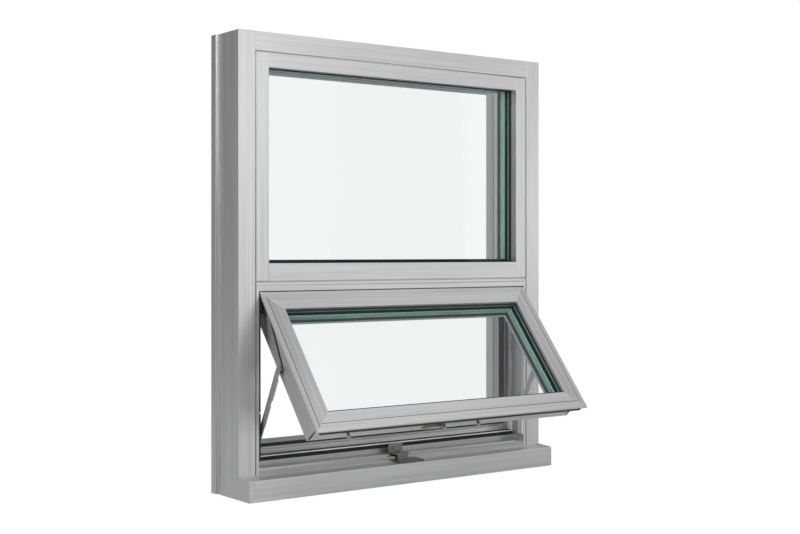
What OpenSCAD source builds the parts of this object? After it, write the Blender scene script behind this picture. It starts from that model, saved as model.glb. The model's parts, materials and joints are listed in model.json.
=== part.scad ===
// Aluminium window for a wall opening: a fixed light above a top-hung vent, in one frame.
// x runs along the width, y from the weather side (-) to the room (+), z up from the underside of the sill.
// The origin is the middle of the sill's underside. Every section is drawn with y = 0 at the frame's front
// face, and at_front() moves it to the origin at the end.

/* [Frame] */
// Width of the whole frame
frame_w = 900; // [720:1:1200]
// Height of the whole frame
frame_h = 1055; // [900:1:1400]
// Depth of the frame, without the sill nose
frame_d = 120; // [116:1:150]
// Width of the frame's front face
face_w = 43; // [34:0.5:60]
// Depth of the outer aluminium profile
outer_d = 82; // [80:1:84]
// Depth of the insulating bars between outer and inner profile
break_d = 8; // [6:0.5:10]
// Wall of the frame profiles
wall = 2.2; // [1.6:0.1:3]
// Width of the shadow gap between the frame and what is set in it
reveal = 3; // [2:0.5:5]
// Depth of that shadow gap
reveal_d = 6; // [4:0.5:10]
// How far the inner profile stands in past the fixed frame
stop_lap = 1; // [0:0.5:6]
// Step of the jambs' rear leg, out from the side face
rear_leg = 4.5; // [2:0.5:8]
// Depth of that rear leg
rear_leg_d = 22; // [12:1:26]

/* [Sill] */
// Height of the sill profile
sill_h = 52; // [44:1:70]
// Height of the lip on the sill's front edge
sill_lip_h = 8; // [5:1:12]
// Thickness of that lip
sill_lip_t = 3; // [2:0.5:5]
// How far the nose stands in front of the frame
nose_out = 49; // [30:1:80]
// Height of the nose at its front edge
nose_h = 48.7; // [36:0.1:52]
// Fall of the nose's top, from the frame to its front edge
nose_fall = 3; // [1:0.5:6]
// Length of each end cap of the nose
cap_l = 13.5; // [8:0.5:20]

/* [Fixed light] */
// Height of the transom's centre line above the underside of the sill
transom_z = 488.5; // [430:0.5:620]
// Face width of the fixed frame's stiles and top rail
fixed_face = 33; // [28:0.5:45]
// Face height of the fixed frame's bottom rail
fixed_bottom_face = 40; // [32:0.5:60]
// Thickness of the lip in front of the glass
fixed_lip_d = 20; // [10:1:24]
// Depth of the outer gasket
fixed_gasket_d = 8; // [4:0.5:10]
// Depth of the inner gasket
fixed_inner_gasket_d = 5; // [3:0.5:6]

/* [Glass] */
// Thickness of one pane
pane_t = 6; // [4:0.5:8]
// Width of the space between two panes
cavity = 12; // [10:0.5:13]
// How far the glass reaches in behind the lips
bite = 13; // [10:0.5:16]
// Thickness of the setting blocks under the glass, and the gap round its other edges
block_t = 3; // [2:0.5:5]

/* [Vent] */
// Opening angle of the vent at rest
open_deg = 39.5; // [0:0.5:50]
// Face height of the strip above the vent
head_strip = 20; // [16:0.5:30]
// Face width of the strip beside the vent
side_strip = 7; // [5:0.5:12]
// Gap between the vent and the strip beside it
side_gap = 2.4; // [2:0.1:4]
// Gap above the closed vent
top_gap = 10; // [10:0.5:16]
// Height of the closed vent's lower edge above the sill's shelf
vent_rise = 16; // [14:0.5:26]
// How far the closed vent stands in front of the frame
vent_proud = 4; // [0:0.5:6]
// Face width of the vent's profiles
vent_face = 48; // [44:0.5:60]
// Depth of the vent's profiles
vent_d = 64.5; // [62:0.5:68]
// Thickness of the vent's outer flange
flange_t = 5; // [4:0.5:5]
// Setback of the vent's body behind its flange
body_in = 12.5; // [12.5:0.5:16]
// The same at the bottom rail
body_in_bottom = 19; // [16:0.5:20]
// Thickness of the lip in front of the vent's glass
vent_lip_d = 8; // [6:0.5:8]
// Wall of the vent's profiles
vent_wall = 2; // [1.5:0.1:2.5]

/* [Stays] */
// Distance of the hinge pins behind the frame's front face
pin_y = 9.5; // [9.5:0.5:11]
// Distance of the hinge pins below the strip above the vent
pin_drop = 12.5; // [12:0.5:14]
// Distance between the pins of each link
link_l = 178.2; // [150:0.1:190]
// Angle between the link and the vent, at the hinge pin
link_lean = 12.3; // [8:0.1:14]
// Width of the links
link_w = 15; // [12:0.5:16]
// Thickness of the links
link_t = 3; // [2:0.5:3]
// Radius of the pins
pin_r = 3; // [2:0.25:4]
// Radial clearance of a pin in its hole
pin_fit = 0.05; // [0.02:0.01:0.1]

/* [Lock] */
// Place of the lock's gear and of the handle, from the middle of the vent
lock_x = -50; // [-120:1:120]
// Length of the handle's lever
lever_l = 110; // [80:1:130]
// Radius of the fixing holes in the head and the sill
fixing_r = 4; // [3:0.5:6]
// Distance between those holes
fixing_pitch = 600; // [300:10:650]

/* [Hidden] */
$fn = 48;

aluminium = [0.76, 0.76, 0.77];
steel = [0.68, 0.66, 0.62];
black_rubber = [0.07, 0.07, 0.075];
polyamide = [0.55, 0.55, 0.55];
glass_tint = [0.72, 0.86, 0.82, 0.35];
spacer_grey = [0.25, 0.26, 0.26];

// frame, seen from the front
half_w = frame_w / 2;
face_x = half_w - face_w;
flank_x = face_x - reveal;
flank_top = frame_h - face_w - reveal;
stop_in = face_w + reveal + fixed_face + stop_lap;
stop_x = half_w - stop_in;
stop_top = frame_h - stop_in;
inner_y = outer_d + break_d;
shadow_y = 2;
web_y = outer_d / 2;
break_recess = 1;
break_web = 2;
end_fit = 0.2;
cut = 1;
nose_edge = 1.5;
nose_recess = 1.2;
nose_rib = [7, 5];
fixing_y = (web_y + outer_d) / 2;

// fixed light
fixed_bottom = transom_z + reveal / 2;
fixed_x = flank_x - fixed_face;
fixed_top_z = flank_top - fixed_face;
fixed_sill_z = fixed_bottom + fixed_bottom_face;
glass_gap = block_t;
fixed_pocket = bite + glass_gap;
fixed_wall = 2;
fixed_pocket_w = fixed_face - fixed_pocket;
fixed_pocket_h = fixed_bottom_face - fixed_pocket;
fixed_edge_x = fixed_x + bite;
fixed_edge_top = fixed_top_z + bite;
fixed_edge_bottom = fixed_sill_z - bite;
unit_t = 3 * pane_t + 2 * cavity;
fixed_glass_y = fixed_lip_d + fixed_gasket_d;
fixed_bead_y = fixed_glass_y + unit_t + fixed_inner_gasket_d;
spacer_in = 2;
bead_wall = 1.6;
block_l = 100;
block_in = 1;

// vent opening
opening_x = flank_x - side_strip;
opening_top = transom_z - reveal / 2 - head_strip;
stop_gap = 5.5;
stop_y = vent_d - vent_proud + stop_gap;
stop_step = 2;
stop_line = 1.5;
stop_band = 10.5;
stop_w = opening_x - stop_x;
foot_y = sill_lip_t + 3;
foot_h = 5;
foot_l = 7;
shelf_h = 12;
shelf_z = sill_h + shelf_h;
shelf_slope = 2;
upstand_t = 2;
upstand_h = 11;
gasket_z = shelf_z + upstand_h;
gasket_h = 12;
gasket_d = 14;
gasket_y = stop_y - gasket_d - 6;
gasket_t = 2.5;
gasket_rib = 1.2;
seal_w = 7;
seal_from = 3;
seal_lip = 0.5;
strip_line = [7, 1];
stop_sill_z = gasket_z + gasket_h + stop_w;
stop_head_z = opening_top - stop_w;
inner_band_z = gasket_z + gasket_h + stop_band + stop_line;

// vent, closed
vent_x = opening_x - side_gap;
vent_top = opening_top - top_gap;
vent_bottom = shelf_z + vent_rise;
vent_gasket_d = 4;
vent_inner_gasket_d = 3;
vent_glass_d = vent_lip_d + vent_gasket_d;
vent_bead_d = vent_glass_d + unit_t + vent_inner_gasket_d;
vent_edge = vent_face - bite;
vent_pocket = bite + glass_gap;
groove_w = 1.2;
groove_d = 1;
slot_d = [13, 17];
slot_h = 1.4;
vent_bottom_body = vent_bottom + body_in_bottom;
body_x = vent_x - body_in;
key_leg = 52;
key_d = [24, 48];
key_fit = 0.3;

// stays
pin_z = opening_top - pin_drop;
track_t = 2;
track_half = 8;
track_side = 1.7;
track_lip = 1.4;
track_lip_w = 3.4;
open_most = 50;
knee_gap = 2.9;
arm_lip = [22, 78, 3];
arm_lip_2 = [92, 150, 2];
arm_lip_t = 1.6;
arm_lip_out = 2;
slide_fit = 0.3;
plane_arm = body_x + link_t + knee_gap;
track_out = opening_x - plane_arm - link_t - 0.5;
knee_y = pin_y + link_l * sin(link_lean);
knee_z = pin_z - link_l * cos(link_lean);
arm_turn = open_deg - link_lean;
shoe_z = pin_z - 2 * link_l * cos(arm_turn);
shoe_low = pin_z - 2 * link_l;
shoe_high = pin_z - 2 * link_l * cos(open_most - link_lean);
shoe_l = 28;
track_end = 3;
track_low = shoe_low - shoe_l / 2 - track_end;
track_high = shoe_high + shoe_l / 2 + track_end;
head_t = 1.5;
head_r = 5;

// lock
lock_z = vent_bottom_body;
lock_rail_t = 1.5;
lock_bar_t = 2;
lock_d = 36;
lock_travel = 18;
rail_x = [-body_x + 10.1, body_x - 56.1];
rail_d = [20, 52];
rail_screw_in = 8;
roller_x = [-body_x + 89.1, -28, 73];
roller_h = 14;
roller_r = 5.5;
roller_flange = 2;
roller_neck_r = 3.5;
roller_pin_r = 2.5;
bar_x = [roller_x[0] - 9, roller_x[2] + 19];
bar_half = 6;
bar_wide = 10;
bar_step = 8;
case_half = 30;
case_t = 7;
case_hole = [23, 2.6, 2];
case_gap = 0.4;
base_h = 14;
base_l = 62;
base_t = 7;
spindle_r = 4;
spindle_in = 0.5;
hub_r = 6.5;
hub_h = 3;
grip_t = 9;
grip_half = 5;
handle_drop = 4.5;
handle_z = vent_bottom + vent_face - handle_drop;

// keeper on the sill
keeper_x = [-20, 22];
keeper_t = 2.5;
keeper_front = -7;
keeper_side = 6;
keeper_tab_y = lock_d - vent_proud - roller_r - slide_fit;
keeper_h = 23;
keeper_hole = [11, 12, 3];
keeper_screw_x = [-12, 14];
keeper_screw_y = keeper_tab_y - 9;
keeper_plate_x = [keeper_x[0] - 11, keeper_x[1] + 21];
keeper_plate_y = [11, 5.2];
keeper_plate_t = 2.6;

// screws
screw_r = 3.8;
screw_head_t = 1.2;
screw_cone = 0.8;
screw_shank_r = 2;
screw_hole_r = 2.05;
screw_more = 4;
track_screw_in = [25, 30];
track_screw_z = [
    track_high + track_screw_in[0],
    (track_high + pin_z) / 2,
    pin_z - track_screw_in[1],
];

// Places of the sash bar's screws, in (y, z) with the vent closed, as shares of the way to the knee
bar_screws = [
    for (share = [0.3, 0.72])
        [pin_y + share * (knee_y - pin_y), pin_z + share * (knee_z - pin_z)]
];

// Place of the knee with the vent open
open_knee = [
    pin_y - link_l * sin(arm_turn),
    pin_z - link_l * cos(arm_turn),
];

module at_front() {
    translate([0, -frame_d / 2, 0]) children();
}

// Turns what is drawn for the closed vent to its opening angle
module in_vent() {
    at_front()
        translate([0, pin_y, pin_z])
            rotate([-open_deg, 0, 0])
                translate([0, -pin_y, -pin_z])
                    children();
}

// A (y, z) section run from x0 to x1
module run_x(x0, x1) {
    translate([x0, 0, 0]) rotate([90, 0, 90]) linear_extrude(x1 - x0) children();
}

// An (x, y) section run from z0 to z1
module run_z(z0, z1) {
    translate([0, 0, z0]) linear_extrude(z1 - z0) children();
}

// An (x, z) outline run from y0 to y1
module run_y(y0, y1) {
    translate([0, y1, 0]) rotate([90, 0, 0]) linear_extrude(y1 - y0) children();
}

// A rectangle between two corners
module span(a, b) {
    translate(a) square([b[0] - a[0], b[1] - a[1]]);
}

// A box between two corners
module block(a, b) {
    translate(a) cube([b[0] - a[0], b[1] - a[1], b[2] - a[2]]);
}

module right_of_left() {
    mirror([1, 0, 0]) children();
}

// ---- outer and inner frame profiles ----

module jamb_outer_section() {
    difference() {
        union() {
            span([-half_w, 0], [-face_x, outer_d]);
            span([-half_w, reveal_d], [-flank_x, outer_d]);
        }
        span([-half_w + wall, wall], [-face_x - wall, web_y - wall / 2]);
        span([-half_w + wall, web_y + wall / 2], [-flank_x - wall, outer_d - wall]);
    }
}

module jamb_inner_section() {
    difference() {
        union() {
            span([-half_w, inner_y], [-flank_x, frame_d]);
            span([-half_w, inner_y + shadow_y], [-stop_x, frame_d]);
            span([-half_w - rear_leg, frame_d - rear_leg_d], [-half_w + wall, frame_d]);
        }
        span([-half_w + wall, inner_y + wall], [-flank_x - wall, frame_d - wall]);
        span([-flank_x, inner_y + shadow_y + wall], [-stop_x - wall, frame_d - wall]);
    }
}

module jamb_break_section() {
    difference() {
        span([-half_w + break_recess, outer_d], [-flank_x, inner_y]);
        span(
            [-half_w + break_recess + break_web, outer_d + break_web],
            [-flank_x - break_web, inner_y - break_web]
        );
    }
}

module head_outer_section() {
    difference() {
        union() {
            span([0, frame_h - face_w], [outer_d, frame_h]);
            span([reveal_d, flank_top], [outer_d, frame_h]);
        }
        span([wall, frame_h - face_w + wall], [web_y - wall / 2, frame_h - wall]);
        span([web_y + wall / 2, flank_top + wall], [outer_d - wall, frame_h - wall]);
    }
}

module head_inner_section() {
    difference() {
        union() {
            span([inner_y, flank_top], [frame_d, frame_h]);
            span([inner_y + shadow_y, stop_top], [frame_d, frame_h]);
        }
        span([inner_y + wall, flank_top + wall], [frame_d - wall, frame_h - wall]);
        span([inner_y + shadow_y + wall, stop_top + wall], [frame_d - wall, flank_top]);
    }
}

module sill_outer_section() {
    difference() {
        span([0, 0], [outer_d, sill_h]);
        span([sill_lip_t, wall], [web_y - wall / 2, sill_h - wall]);
        span([web_y + wall / 2, wall], [outer_d - wall, sill_h - wall]);
    }
}

module sill_inner_section() {
    difference() {
        union() {
            span([inner_y, 0], [frame_d, sill_h]);
            span([inner_y + shadow_y, 0], [frame_d, stop_sill_z]);
        }
        span([inner_y + wall, wall], [frame_d - wall, sill_h - wall]);
        span([inner_y + shadow_y + wall, sill_h], [frame_d - wall, stop_sill_z - wall]);
    }
}

// Holes for the frame's fixings, through one wall, from z0 to z1
module fixing_holes(y, z0, z1) {
    for (side = [-1, 1]) {
        translate([side * fixing_pitch / 2, y, z0]) cylinder(h = z1 - z0, r = fixing_r);
    }
}

module jamb_left_outer() {
    color(aluminium) at_front() run_z(0, frame_h) jamb_outer_section();
}

module jamb_right_outer() {
    color(aluminium) at_front() right_of_left() run_z(0, frame_h) jamb_outer_section();
}

module head_outer() {
    color(aluminium) at_front()
        difference() {
            union() {
                run_x(-flank_x, flank_x) head_outer_section();
                run_x(-face_x, face_x)
                    intersection() {
                        head_outer_section();
                        span([0, 0], [reveal_d, frame_h]);
                    }
            }
            fixing_holes(fixing_y, frame_h - wall - cut, frame_h + cut);
        }
}

module sill_outer() {
    color(aluminium) at_front()
        difference() {
            union() {
                run_x(-flank_x, flank_x) sill_outer_section();
                run_x(-face_x, face_x)
                    intersection() {
                        sill_outer_section();
                        span([0, 0], [reveal_d, frame_h]);
                    }
                run_x(-opening_x, opening_x)
                    span([0, sill_h - wall], [sill_lip_t, sill_h + sill_lip_h]);
            }
            fixing_holes(fixing_y, -cut, wall + cut);
        }
}

module jamb_left_inner() {
    color(aluminium) at_front() run_z(0, frame_h) jamb_inner_section();
}

module jamb_right_inner() {
    color(aluminium) at_front() right_of_left() run_z(0, frame_h) jamb_inner_section();
}

// Inner head and sill run between the inner jambs, with a short tongue beside the insulating bar
module between_inner_jambs() {
    run_x(-stop_x, stop_x) children();
    run_x(-flank_x, flank_x)
        intersection() {
            children();
            span([inner_y, 0], [inner_y + shadow_y, frame_h]);
        }
}

module head_inner() {
    color(aluminium) at_front() between_inner_jambs() head_inner_section();
}

module sill_inner() {
    color(aluminium) at_front() between_inner_jambs() sill_inner_section();
}

module thermal_breaks() {
    color(polyamide) at_front() {
        run_z(0, frame_h) jamb_break_section();
        right_of_left() run_z(0, frame_h) jamb_break_section();
        run_x(-flank_x + end_fit, flank_x - end_fit)
            difference() {
                span([outer_d, flank_top], [inner_y, frame_h - break_recess]);
                span(
                    [outer_d + break_web, flank_top + break_web],
                    [inner_y - break_web, frame_h - break_recess - break_web]
                );
            }
        run_x(-flank_x + end_fit, flank_x - end_fit)
            difference() {
                span([outer_d, break_recess], [inner_y, sill_h]);
                span(
                    [outer_d + break_web, break_recess + break_web],
                    [inner_y - break_web, sill_h - break_web]
                );
            }
    }
}

// ---- sill nose ----

module nose_outline(recess) {
    difference() {
        polygon([
            [0, 0],
            [-nose_out, 0],
            [-nose_out, nose_h - nose_edge],
            [-nose_out + nose_edge, nose_h],
            [0, nose_h + nose_fall],
        ]);
        if (recess)
            translate([-nose_out, nose_h])
                rotate(atan(nose_fall / nose_out))
                    span([nose_rib[0], -nose_recess], [nose_out - nose_rib[1], nose_fall]);
    }
}

module sill_nose() {
    color(aluminium) at_front()
        run_x(-half_w + cap_l, half_w - cap_l)
            difference() {
                nose_outline(true);
                span([-nose_out + wall, wall], [-nose_out / 2 - wall / 2, nose_h - 2 * wall]);
                span([-nose_out / 2 + wall / 2, wall], [-wall, nose_h - 2 * wall]);
            }
}

module nose_end_cap() {
    run_x(-half_w, -half_w + cap_l) nose_outline(false);
}

module nose_end_caps() {
    color(aluminium) at_front() {
        nose_end_cap();
        right_of_left() nose_end_cap();
    }
}

// ---- transom ----

module transom() {
    plate_z = [transom_z - reveal / 2, transom_z + reveal / 2];
    box_y = inner_y + shadow_y;
    color(aluminium) at_front()
        union() {
            run_x(-flank_x, flank_x) span([reveal_d, plate_z[0]], [inner_y, plate_z[1]]);
            run_x(-stop_x, stop_x)
                difference() {
                    union() {
                        span([inner_y - cut, plate_z[0]], [box_y + cut, plate_z[1]]);
                        span([box_y, stop_head_z], [frame_d, fixed_sill_z]);
                    }
                    span(
                        [box_y + wall, stop_head_z + wall],
                        [frame_d - wall, fixed_sill_z - wall]
                    );
                }
        }
}

// ---- fixed light ----

// Section of a fixed profile: w is its distance in from the outer edge, y its depth
module fixed_section(face, pocket) {
    difference() {
        union() {
            span([0, 0], [face, fixed_lip_d]);
            span([0, 0], [pocket, inner_y]);
        }
        span([fixed_wall, fixed_wall], [face - fixed_wall, fixed_lip_d - fixed_wall]);
        span([fixed_wall, fixed_lip_d], [pocket - fixed_wall, inner_y - fixed_wall]);
    }
}

module fixed_stile() {
    run_z(fixed_bottom, flank_top)
        translate([-flank_x, 0]) fixed_section(fixed_face, fixed_pocket_w);
}

module fixed_stile_left() {
    color(aluminium) at_front() fixed_stile();
}

module fixed_stile_right() {
    color(aluminium) at_front() right_of_left() fixed_stile();
}

// A rail: its lip fits between the stiles' lips and its back between their backs
module fixed_rail(face, pocket) {
    back_x = flank_x - fixed_pocket_w;
    run_x(-fixed_x, fixed_x) rotate(90) mirror([0, 1]) fixed_section(face, pocket);
    run_x(-back_x, back_x)
        intersection() {
            rotate(90) mirror([0, 1]) fixed_section(face, pocket);
            span([fixed_lip_d, 0], [inner_y, pocket]);
        }
}

module fixed_rail_bottom() {
    color(aluminium) at_front()
        translate([0, 0, fixed_bottom]) fixed_rail(fixed_bottom_face, fixed_pocket_h);
}

module fixed_rail_top() {
    color(aluminium) at_front()
        translate([0, 0, flank_top]) mirror([0, 0, 1]) fixed_rail(fixed_face, fixed_pocket_w);
}

module fixed_pane(index) {
    y = fixed_glass_y + index * (pane_t + cavity);
    block(
        [-fixed_edge_x, y, fixed_edge_bottom],
        [fixed_edge_x, y + pane_t, fixed_edge_top]
    );
}

module fixed_pane_outer() {
    color(glass_tint) at_front() fixed_pane(0);
}

module fixed_pane_middle() {
    color(glass_tint) at_front() fixed_pane(1);
}

module fixed_pane_inner() {
    color(glass_tint) at_front() fixed_pane(2);
}

// A rectangular ring in (x, z), from its outer to its inner edge
module fixed_ring(edge_in, y0, y1) {
    run_y(y0, y1)
        difference() {
            span(
                [-fixed_edge_x + edge_in, fixed_edge_bottom + edge_in],
                [fixed_edge_x - edge_in, fixed_edge_top - edge_in]
            );
            span([-fixed_x, fixed_sill_z], [fixed_x, fixed_top_z]);
        }
}

module fixed_spacers() {
    color(spacer_grey) at_front() {
        for (index = [0, 1]) {
            y = fixed_glass_y + pane_t + index * (pane_t + cavity);
            fixed_ring(spacer_in, y, y + cavity);
        }
    }
}

module fixed_gasket_outer() {
    color(black_rubber) at_front() fixed_ring(0, fixed_lip_d, fixed_glass_y);
}

module fixed_gasket_inner() {
    color(black_rubber) at_front() fixed_ring(0, fixed_glass_y + unit_t, fixed_bead_y);
}

// Four beads: uprights the full height of the pocket, the others between them
module fixed_glazing_beads() {
    back_x = flank_x - fixed_pocket_w;
    low = fixed_bottom + fixed_pocket_h;
    high = flank_top - fixed_pocket_w;
    color(aluminium) at_front() {
        for (side = [0, 1]) {
            mirror([side, 0, 0])
                run_z(low, high) bead_section([-back_x, fixed_bead_y], [-fixed_x, inner_y]);
        }
        run_x(-fixed_x + end_fit, fixed_x - end_fit)
            bead_section([fixed_bead_y, low], [inner_y, fixed_sill_z]);
        run_x(-fixed_x + end_fit, fixed_x - end_fit)
            bead_section([fixed_bead_y, fixed_top_z], [inner_y, high]);
    }
}

module bead_section(a, b) {
    difference() {
        span(a, b);
        span([a[0] + bead_wall, a[1] + bead_wall], [b[0] - bead_wall, b[1] - bead_wall]);
    }
}

module fixed_setting_blocks() {
    low = fixed_bottom + fixed_pocket_h;
    color(black_rubber) at_front()
        for (side = [-1, 1]) {
            x = side * fixed_x / 2;
            block(
                [x - block_l / 2, fixed_glass_y + block_in, low],
                [x + block_l / 2, fixed_glass_y + unit_t - block_in, low + glass_gap]
            );
        }
}

// ---- subframe round the vent ----

// The stop's front: a band, a narrow line and a second band set back from it
module stop_profile(w) {
    difference() {
        span([0, stop_y], [w, inner_y]);
        span([w - stop_w + stop_band, stop_y - cut], [w + cut, stop_y + stop_step]);
        span(
            [w - stop_w + stop_band, stop_y - cut],
            [w - stop_w + stop_band + stop_line, stop_y + 2 * stop_step]
        );
        span([fixed_wall, stop_y + 3 * stop_step], [w - fixed_wall, inner_y - fixed_wall]);
    }
}

module subframe_jamb() {
    difference() {
        run_z(sill_h, transom_z - reveal / 2)
            translate([-flank_x, 0])
                union() {
                    difference() {
                        span([0, 0], [side_strip, stop_y]);
                        span(
                            [fixed_wall, fixed_wall],
                            [side_strip - fixed_wall, stop_y - fixed_wall]
                        );
                    }
                    stop_profile(side_strip + stop_w);
                }
        for (z = track_screw_z)
            rod_x(-opening_x - fixed_wall - cut / 2, -opening_x + cut, pin_y, z, screw_hole_r);
    }
}

module subframe_jamb_left() {
    color(aluminium) at_front() subframe_jamb();
}

module subframe_jamb_right() {
    color(aluminium) at_front() right_of_left() subframe_jamb();
}

module subframe_head() {
    top = transom_z - reveal / 2;
    color(aluminium) at_front()
        union() {
            run_x(-opening_x, opening_x)
                difference() {
                    span([0, opening_top], [stop_y, top]);
                    span(
                        [-cut, top - strip_line[0] - strip_line[1]],
                        [strip_line[1], top - strip_line[0]]
                    );
                    span(
                        [fixed_wall + strip_line[1], opening_top + fixed_wall],
                        [stop_y - fixed_wall, top - fixed_wall]
                    );
                }
            run_x(-stop_x, stop_x)
                translate([0, top])
                    rotate(-90)
                        stop_profile(head_strip + stop_w);
        }
}

module subframe_sill_section() {
    difference() {
        polygon([
            [foot_y, sill_h],
            [foot_y, sill_h + foot_h],
            [foot_y + foot_l, sill_h + foot_h],
            [foot_y + foot_l + shelf_slope, shelf_z],
            [gasket_y - upstand_t, shelf_z],
            [gasket_y - upstand_t, gasket_z],
            [stop_y, gasket_z],
            [stop_y, inner_band_z - stop_line],
            [stop_y + 2 * stop_step, inner_band_z - stop_line],
            [stop_y + 2 * stop_step, inner_band_z],
            [stop_y + stop_step, inner_band_z],
            [stop_y + stop_step, stop_sill_z],
            [inner_y, stop_sill_z],
            [inner_y, sill_h],
        ]);
        span(
            [foot_y + foot_l + shelf_slope + fixed_wall, sill_h + fixed_wall],
            [gasket_y - upstand_t - fixed_wall, shelf_z - 2 * fixed_wall]
        );
        span([gasket_y, sill_h + fixed_wall], [inner_y - fixed_wall, gasket_z - fixed_wall]);
        span(
            [stop_y + 3 * stop_step, gasket_z + fixed_wall],
            [inner_y - fixed_wall, stop_sill_z - fixed_wall]
        );
    }
}

// The sill piece runs between the jambs' side strips, and its stop between their stops
module subframe_sill() {
    color(aluminium) at_front()
        difference() {
            union() {
                run_x(-opening_x, opening_x)
                    intersection() {
                        subframe_sill_section();
                        span([0, sill_h], [stop_y, stop_sill_z]);
                    }
                run_x(-stop_x, stop_x)
                    intersection() {
                        subframe_sill_section();
                        span([stop_y, sill_h], [inner_y, stop_sill_z]);
                    }
            }
            for (x = keeper_screw_x)
                translate([x, keeper_screw_y, shelf_z - screw_more - cut])
                    cylinder(h = screw_more + 2 * cut, r = screw_hole_r);
        }
}

// One moulded black gasket: a broad band with two grooves on the sill, thin strips on the other sides
module weatherstrip() {
    color(black_rubber) at_front()
        difference() {
            union() {
                run_y(gasket_y, gasket_y + gasket_d)
                    difference() {
                        span([-opening_x, gasket_z], [opening_x, opening_top]);
                        span(
                            [-opening_x + gasket_t, gasket_z + gasket_h],
                            [opening_x - gasket_t, opening_top - gasket_t]
                        );
                    }
                run_x(-opening_x, opening_x)
                    span([gasket_y + gasket_d, gasket_z], [stop_y, gasket_z + gasket_h]);
            }
            for (z = [gasket_z + gasket_h / 3, gasket_z + 2 * gasket_h / 3]) {
                block(
                    [-opening_x - cut, gasket_y - cut, z - gasket_rib / 2],
                    [opening_x + cut, gasket_y + gasket_rib, z + gasket_rib / 2]
                );
            }
        }
}

// Compression seal on the stop's inner band, all round
module inner_seal() {
    seal_x = stop_x + seal_from;
    seal_low = stop_sill_z - seal_from;
    seal_high = stop_head_z + seal_from;
    color(black_rubber) at_front()
        run_y(vent_d - vent_proud + seal_lip, stop_y + stop_step)
            difference() {
                span(
                    [-seal_x - seal_w, seal_low - seal_w],
                    [seal_x + seal_w, seal_high + seal_w]
                );
                span([-seal_x, seal_low], [seal_x, seal_high]);
            }
}

// ---- vent ----

// Section of a vent profile: w in from the outer edge, d behind the face
module vent_section(inset, line_w) {
    pocket = vent_face - vent_pocket;
    difference() {
        union() {
            span([0, 0], [vent_face, flange_t]);
            span([inset, 0], [vent_face, vent_lip_d]);
            span([inset, 0], [pocket, vent_d]);
        }
        if (line_w > 0)
            span([line_w - groove_w / 2, -cut], [line_w + groove_w / 2, groove_d]);
        span(
            [inset + vent_wall, vent_lip_d + vent_wall],
            [pocket - vent_wall, vent_d - vent_wall]
        );
    }
}

module vent_outline(w) {
    span([-vent_x + w, vent_bottom + w], [vent_x - w, vent_top - w]);
}

// Keeps the part of a profile on its own side of the two mitres
module mitre_upright() {
    intersection() {
        children();
        run_y(-vent_proud - cut, vent_d)
            polygon([
                [-vent_x, vent_bottom],
                [-vent_x + vent_face, vent_bottom + vent_face],
                [-vent_x + vent_face, vent_top - vent_face],
                [-vent_x, vent_top],
            ]);
    }
}

module mitre_level(z, inward) {
    intersection() {
        children();
        run_y(-vent_proud - cut, vent_d)
            polygon([
                [-vent_x, z],
                [vent_x, z],
                [vent_x - vent_face, z + inward * vent_face],
                [-vent_x + vent_face, z + inward * vent_face],
            ]);
    }
}

module vent_stile() {
    difference() {
        mitre_upright()
            translate([0, -vent_proud, 0])
                run_z(vent_bottom, vent_top)
                    translate([-vent_x, 0]) vent_section(body_in, body_in + groove_w / 2);
        block(
            [-vent_x, flange_t - vent_proud, vent_bottom - cut],
            [0, vent_d, vent_bottom_body]
        );
        for (p = bar_screws)
            rod_x(-body_x - cut, -body_x + vent_wall + cut / 2, p[0], p[1], screw_hole_r);
    }
}

module vent_stile_left() {
    color(aluminium) in_vent() vent_stile();
}

module vent_stile_right() {
    color(aluminium) in_vent() right_of_left() vent_stile();
}

module vent_rail_top() {
    color(aluminium) in_vent()
        mitre_level(vent_top, -1)
            translate([0, -vent_proud, 0])
                run_x(-vent_x, vent_x)
                    translate([0, vent_top]) rotate(-90) vent_section(body_in, 0);
}

// The bottom rail's body has a narrow slot along its underside
module vent_rail_bottom() {
    color(aluminium) in_vent()
        difference() {
            mitre_level(vent_bottom, 1)
                translate([0, -vent_proud, 0])
                    run_x(-vent_x, vent_x)
                        difference() {
                            translate([0, vent_bottom]) rotate(90) mirror([0, 1])
                                vent_section(body_in_bottom, body_in_bottom + groove_w);
                            span(
                                [slot_d[0], vent_bottom_body - cut],
                                [slot_d[1], vent_bottom_body + slot_h]
                            );
                        }
            rail_screw_holes(lock_z - cut, lock_z + vent_wall + cut);
        }
}

// Holes for the two screws of the lock rail, from z0 to z1
module rail_screw_holes(z0, z1) {
    for (x = [rail_x[0] + rail_screw_in, rail_x[1] - rail_screw_in])
        translate([x, lock_d - vent_proud, z0]) cylinder(h = z1 - z0, r = screw_hole_r);
}

module vent_pane(index) {
    d = vent_glass_d - vent_proud + index * (pane_t + cavity);
    run_y(d, d + pane_t) vent_outline(vent_edge);
}

module vent_pane_outer() {
    color(glass_tint) in_vent() vent_pane(0);
}

module vent_pane_middle() {
    color(glass_tint) in_vent() vent_pane(1);
}

module vent_pane_inner() {
    color(glass_tint) in_vent() vent_pane(2);
}

module vent_ring(edge_in, d0, d1) {
    run_y(d0 - vent_proud, d1 - vent_proud)
        difference() {
            vent_outline(vent_edge + edge_in);
            vent_outline(vent_face);
        }
}

module vent_spacers() {
    color(spacer_grey) in_vent()
        for (index = [0, 1]) {
            d = vent_glass_d + pane_t + index * (pane_t + cavity);
            vent_ring(spacer_in, d, d + cavity);
        }
}

module vent_gasket_outer() {
    color(black_rubber) in_vent() vent_ring(0, vent_lip_d, vent_glass_d);
}

module vent_gasket_inner() {
    color(black_rubber) in_vent() vent_ring(0, vent_glass_d + unit_t, vent_bead_d);
}

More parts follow.
